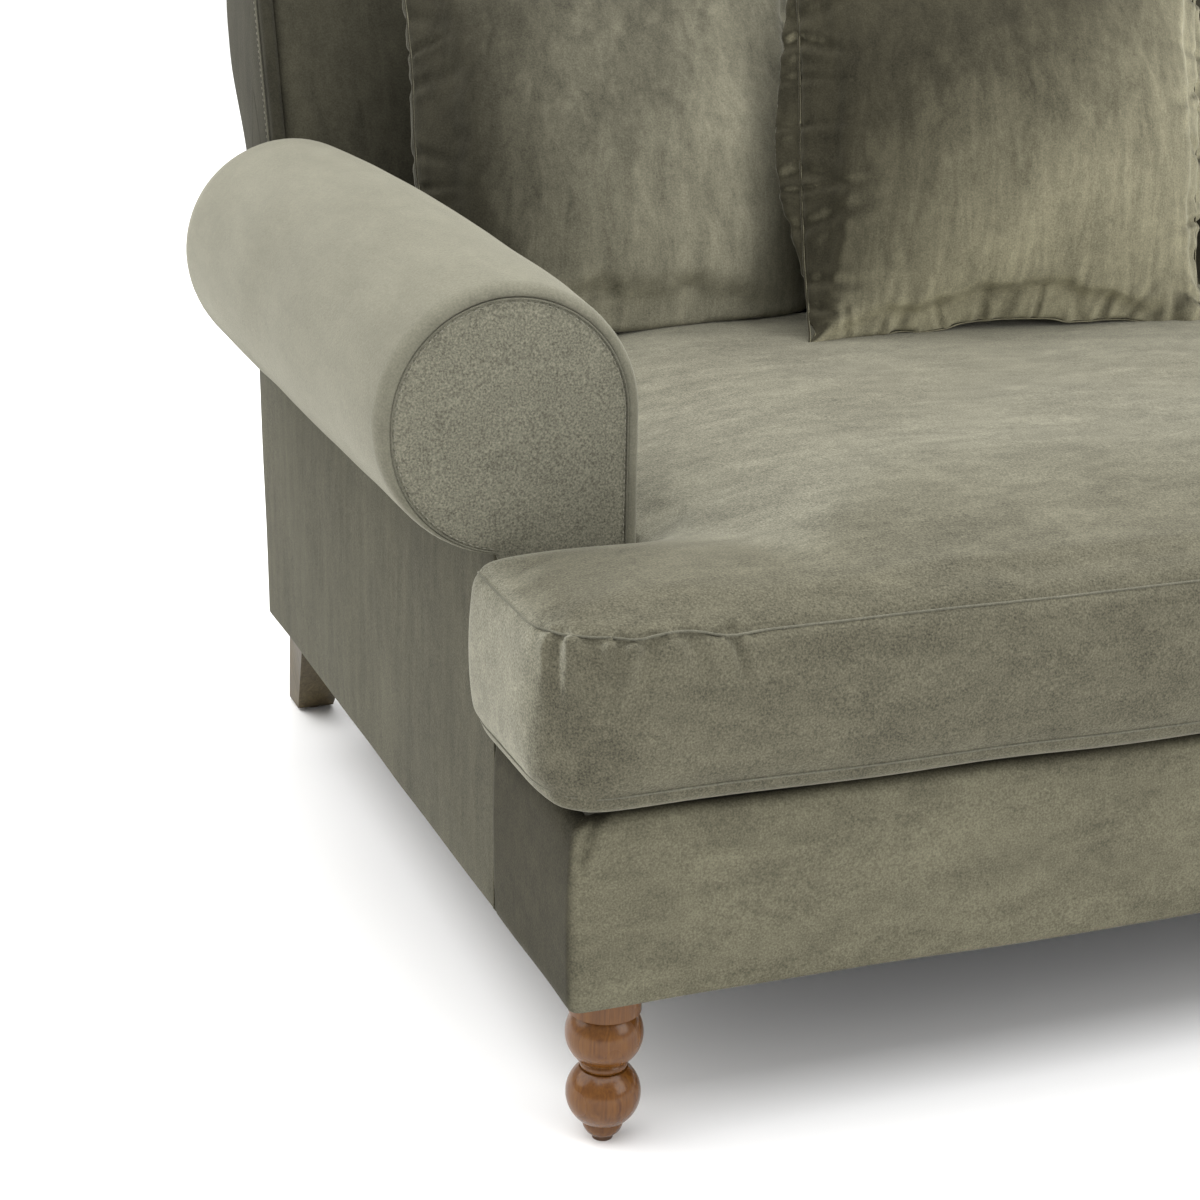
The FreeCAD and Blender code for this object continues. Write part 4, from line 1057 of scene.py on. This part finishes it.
def seat_cushion():
    """The T-shaped seat cushion with its two boxing seams."""
    part = "seat_cushion"
    obj = soft_cushion(part + "_soft", part + "_cover", cap=0.005, voxel=0.015, shrink=0.002, levels=2)
    wobble(obj, 0.0034, 0.16, seed=61)
    upper = snapped(seat_seam(UPPER_SEAM), obj)
    lower = snapped(seat_seam(LOWER_SEAM), obj)
    corner = 0.215
    near = [corner + step for step in (-0.055, -0.030, -0.008, 0.016, 0.045, 0.075)]
    places = near + [distances(upper)[-1] - place for place in near]
    tucks(obj, upper, places, depth=0.0052, width=0.0060, length=0.036, below=UPPER_SEAM - 0.001)
    groove(obj, upper, depth=0.0026, width=0.007)
    groove(obj, lower, depth=0.0022, width=0.007)

    def side(points):
        return np.where(points[:, 1] > EAR_REAR + 0.001, SEAT_SIDE, 1.0)

    held(obj, [
        (0, "below", side),
        (0, "above", lambda p: -side(p)),
        (2, "above", SEAT_FOOT),
        (1, "below", lambda p: np.where(np.abs(p[:, 0]) > SEAT_SIDE + 0.0007, EAR_REAR, SEAT_REAR)),
    ])
    dress(obj, SEAT_VELVET, part, [part + "_cover", part + "_core"])
    for name, height in (("seat_upper_seam", UPPER_SEAM), ("seat_lower_seam", LOWER_SEAM)):
        seam(name, snapped(seat_seam(height), obj, 0.0002), 0.0010, part)


BACK_PITCH = 2 * (HALF_WIDTH - ARM_WIDTH) / 3
BACK_HALF = (BACK_PITCH - 0.005) / 2
BACK_SEAM_HEIGHT = 0.405
BACK_MIDDLE = 0.2238
BACK_FOOT = SEAT_TOP + 0.0003
BACK_LEAN = math.tan(math.radians(15))


def back_seam(centre):
    """Path of a back cushion's knife-edge seam, up one side, over the top and down the other."""
    def place(x, rise):
        return (x, BACK_MIDDLE + rise * BACK_LEAN, BACK_FOOT + rise)

    left = [place(centre - BACK_HALF, share * BACK_SEAM_HEIGHT) for share in np.linspace(0.06, 1, 40)]
    top = []
    for share in np.linspace(-0.97, 0.97, 50):
        dip = 0.012 * (1 - share**2)
        top.append(place(centre + share * BACK_HALF, BACK_SEAM_HEIGHT - dip))
    right = [(2 * centre - x, y, z) for x, y, z in left[::-1]]
    return resample(np.array(left + top + right), 0.006)


def back_cushion(side, number):
    """One back cushion, flat where it stands on the seat and lies on the back."""
    centre = number * BACK_PITCH
    part = side + "_back_cushion"
    obj = soft_cushion(part + "_soft", part + "_cover", cap=0.010)
    wobble(obj, 0.0050, 0.12, seed=71 + number)
    path = snapped(back_seam(centre), obj)
    pitch = 0.043
    steps = range(int(distances(path)[-1] / pitch))
    places = [0.03 + pitch * step + 0.011 * math.sin(2.1 * step + number) for step in steps]
    tucks(obj, path, places, depth=0.0024, width=0.0055, length=0.034)
    reach = BACK_HALF + 0.0018
    held(obj, [
        (2, "above", BACK_FOOT),
        (1, "below", lambda p: np.where(p[:, 2] < TANGENT[1], back_front(p[:, 2]) - 0.0004, 1.0)),
        (0, "below", centre + reach),
        (0, "above", centre - reach),
    ])
    dress(obj, CUSHION_VELVET, part, [part + "_cover", part + "_filling"])
    seam(part + "_seam", snapped(back_seam(centre), obj, 0.0004), 0.0013, part, look=CUSHION_VELVET)


SCATTER_HALF = 0.215
SCATTER_DRAW = 0.020
EAR_PULL = np.array([0.010, -0.016, -0.006])
SLUMP = np.array([-0.024, -0.016, -0.022])


def scatter_turn():
    """How the scatter cushion leans and turns."""
    return Matrix.Rotation(math.radians(-3), 3, "Z") @ Matrix.Rotation(math.radians(-15), 3, "X")


def scatter_centre():
    """Where the middle of the scatter cushion lies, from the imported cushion's box."""
    low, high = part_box("scatter_cushion_cover")
    turn = np.array(scatter_turn())
    signs = [(-1, -1), (-1, 1), (1, -1), (1, 1)]
    corners = np.array([turn @ (right * SCATTER_HALF, 0, up * SCATTER_HALF) for right, up in signs])
    return np.array([(low.x + high.x) / 2, high.y - corners[:, 1].max(), low.z - corners[:, 2].min()])


def scatter_seam():
    """Path of the scatter cushion's knife-edge seam, all round."""
    half = SCATTER_HALF
    share = np.linspace(-0.98, 0.98, 70)
    draw = half - SCATTER_DRAW * (1 - share**2)
    bottom = np.stack([share * half, 0 * share, -draw], 1)
    right = np.stack([half + 0 * share, 0 * share, share * half], 1)
    top = np.stack([-share * half, 0 * share, draw], 1)
    left = np.stack([-half + 0 * share, 0 * share, -share * half], 1)
    start = len(left) // 2
    flat = scatter_shape(np.vstack([left[start:], bottom, right, top, left[:start + 1]]))
    return resample(flat @ np.array(scatter_turn()).T + scatter_centre(), 0.005)


def scatter_shape(local):
    """Points of the plain scatter cushion, shaped as it lies.

    Its rear swells past the side seams, its foot slumps forward and to the left, and its lower corners
    are pulled into ears.
    """
    local = local.copy()
    height = np.clip((local[:, 2] + SCATTER_HALF) / (2 * SCATTER_HALF), 0, 1)
    edge = np.exp(-((SCATTER_HALF - np.abs(local[:, 0])) / 0.055) ** 2)
    behind = np.clip(local[:, 1] / 0.012, 0, 1)
    swell = 0.032 * np.sin(math.pi * height) ** 0.8 * edge * behind
    local[:, 0] += np.sign(local[:, 0]) * swell
    for side in (-1, 1):
        corner = np.array([side * SCATTER_HALF, 0, -SCATTER_HALF])
        near = np.exp(-(np.linalg.norm(local - corner, axis=1) / 0.038) ** 2)
        local += near[:, None] * (EAR_PULL * (side, 1, 1))
    low = 1 - height
    return local + SLUMP * np.stack([low, low**2, low**2], 1)


def scatter_cushion():
    """The scatter cushion with gathers all along its seam."""
    part = "scatter_cushion"
    obj = soft_cushion(part + "_soft", part + "_cover", cap=0.008)
    wobble(obj, 0.0035, 0.12, seed=81)
    turn = np.array(scatter_turn())
    local = (points_of(obj) - scatter_centre()) @ turn
    put(obj, scatter_shape(local) @ turn.T + scatter_centre())
    path = snapped(scatter_seam(), obj)
    pitch = 0.036
    places = [pitch * step + 0.010 * math.sin(1.9 * step) for step in range(int(distances(path)[-1] / pitch))]
    tucks(obj, path, places, depth=0.0026, width=0.0055, length=0.040)
    held(obj, [(2, "above", BACK_FOOT)])
    dress(obj, SCATTER_VELVET, part, [part + "_cover", part + "_filling"])
    seam(part + "_seam", snapped(scatter_seam(), obj, 0.0003), 0.0012, part, look=SCATTER_VELVET)


paint_solids()
for side_name, mirrored in SIDES:
    arm_roll(side_name, mirrored)
    arm_facing(side_name, mirrored)
    outer_arm(side_name, mirrored)
    back_side(side_name, mirrored)
front_border()
inside_back()
outside_back()
dust_cover()
seat_cushion()
for number, side_name in ((-1, "left"), (0, "centre"), (1, "right")):
    back_cushion(side_name, number)
scatter_cushion()

# Floor, light and camera


def floor():
    """A pale floor, wide enough to fill the view."""
    mesh = bpy.data.meshes.new("floor")
    reach = 30.0
    corners = [(-reach, -reach, 0), (reach, -reach, 0), (reach, reach, 0), (-reach, reach, 0)]
    mesh.from_pydata(corners, [], [(0, 1, 2, 3)])
    obj = bpy.data.objects.new("floor", mesh)
    SCENE.collection.objects.link(obj)
    made, tree, shader = material("pale_floor")
    haze = noise_at(tree, coordinates(tree), EVEN, 1.5, 2.0)
    colour = ramp(tree, haze, [(0.3, (0.93, 0.93, 0.93)), (0.7, (0.95, 0.95, 0.95))])
    tree.links.new(colour, shader.inputs["Base Color"])
    settle(shader, Roughness=0.9)
    mesh.materials.append(made)


def softbox(name, place, target, size, power, colour):
    """A square area light turned to a target."""
    light = bpy.data.lights.new(name, "AREA")
    light.size = size
    light.energy = power
    light.color = colour
    obj = bpy.data.objects.new(name, light)
    obj.location = place
    obj.rotation_euler = (Vector(target) - Vector(place)).to_track_quat("-Z", "Y").to_euler()
    SCENE.collection.objects.link(obj)


def sun():
    """Broad daylight from behind the left arm."""
    light = bpy.data.lights.new("daylight", "SUN")
    light.energy = 1.3
    light.angle = math.radians(50)
    light.color = (1.0, 0.985, 0.95)
    obj = bpy.data.objects.new("daylight", light)
    obj.rotation_euler = Vector((0.86, -0.42, -0.75)).to_track_quat("-Z", "Y").to_euler()
    SCENE.collection.objects.link(obj)


def world():
    """Even white light from all round."""
    made = bpy.data.worlds.new("studio")
    made.use_nodes = True
    settle(made.node_tree.nodes["Background"], Color=(1.0, 1.0, 1.0, 1), Strength=0.55)
    SCENE.world = made


PHOTO_WIDTH = 1200
FOCAL_PIXELS = 2581.19
CAMERA_ANGLES = (-20.623, 18.788, 0.973)
CAMERA_PLACE = (-1.33034, -2.14639, 1.04590)


def camera():
    """The photograph's viewpoint, solved from its straight edges: azimuth, elevation and roll, and place."""
    lens = bpy.data.cameras.new("camera")
    lens.sensor_width = 36
    lens.sensor_fit = "HORIZONTAL"
    lens.lens = lens.sensor_width * FOCAL_PIXELS / PHOTO_WIDTH
    azimuth, elevation, roll = (math.radians(angle) for angle in CAMERA_ANGLES)
    back = Vector((math.sin(azimuth) * math.cos(elevation), -math.cos(azimuth) * math.cos(elevation),
                   math.sin(elevation)))
    right = Vector((math.cos(azimuth), math.sin(azimuth), 0))
    up = back.cross(right)
    across = math.cos(roll) * right + math.sin(roll) * up
    above = math.cos(roll) * up - math.sin(roll) * right
    obj = bpy.data.objects.new("camera", lens)
    turn = Matrix((across, above, back)).transposed().to_4x4()
    obj.matrix_world = Matrix.Translation(CAMERA_PLACE) @ turn
    SCENE.collection.objects.link(obj)
    SCENE.camera = obj


SCENE.view_settings.view_transform = "Standard"
floor()
softbox("fill", (2.2, -3.6, 2.2), (0.0, 0.0, 0.5), 2.6, 70, (1.0, 0.99, 0.97))
softbox("top", (0.0, 0.0, 6.0), (0.0, 0.0, 0.0), 10.0, 900, (1.0, 1.0, 1.0))
sun()
world()
camera()
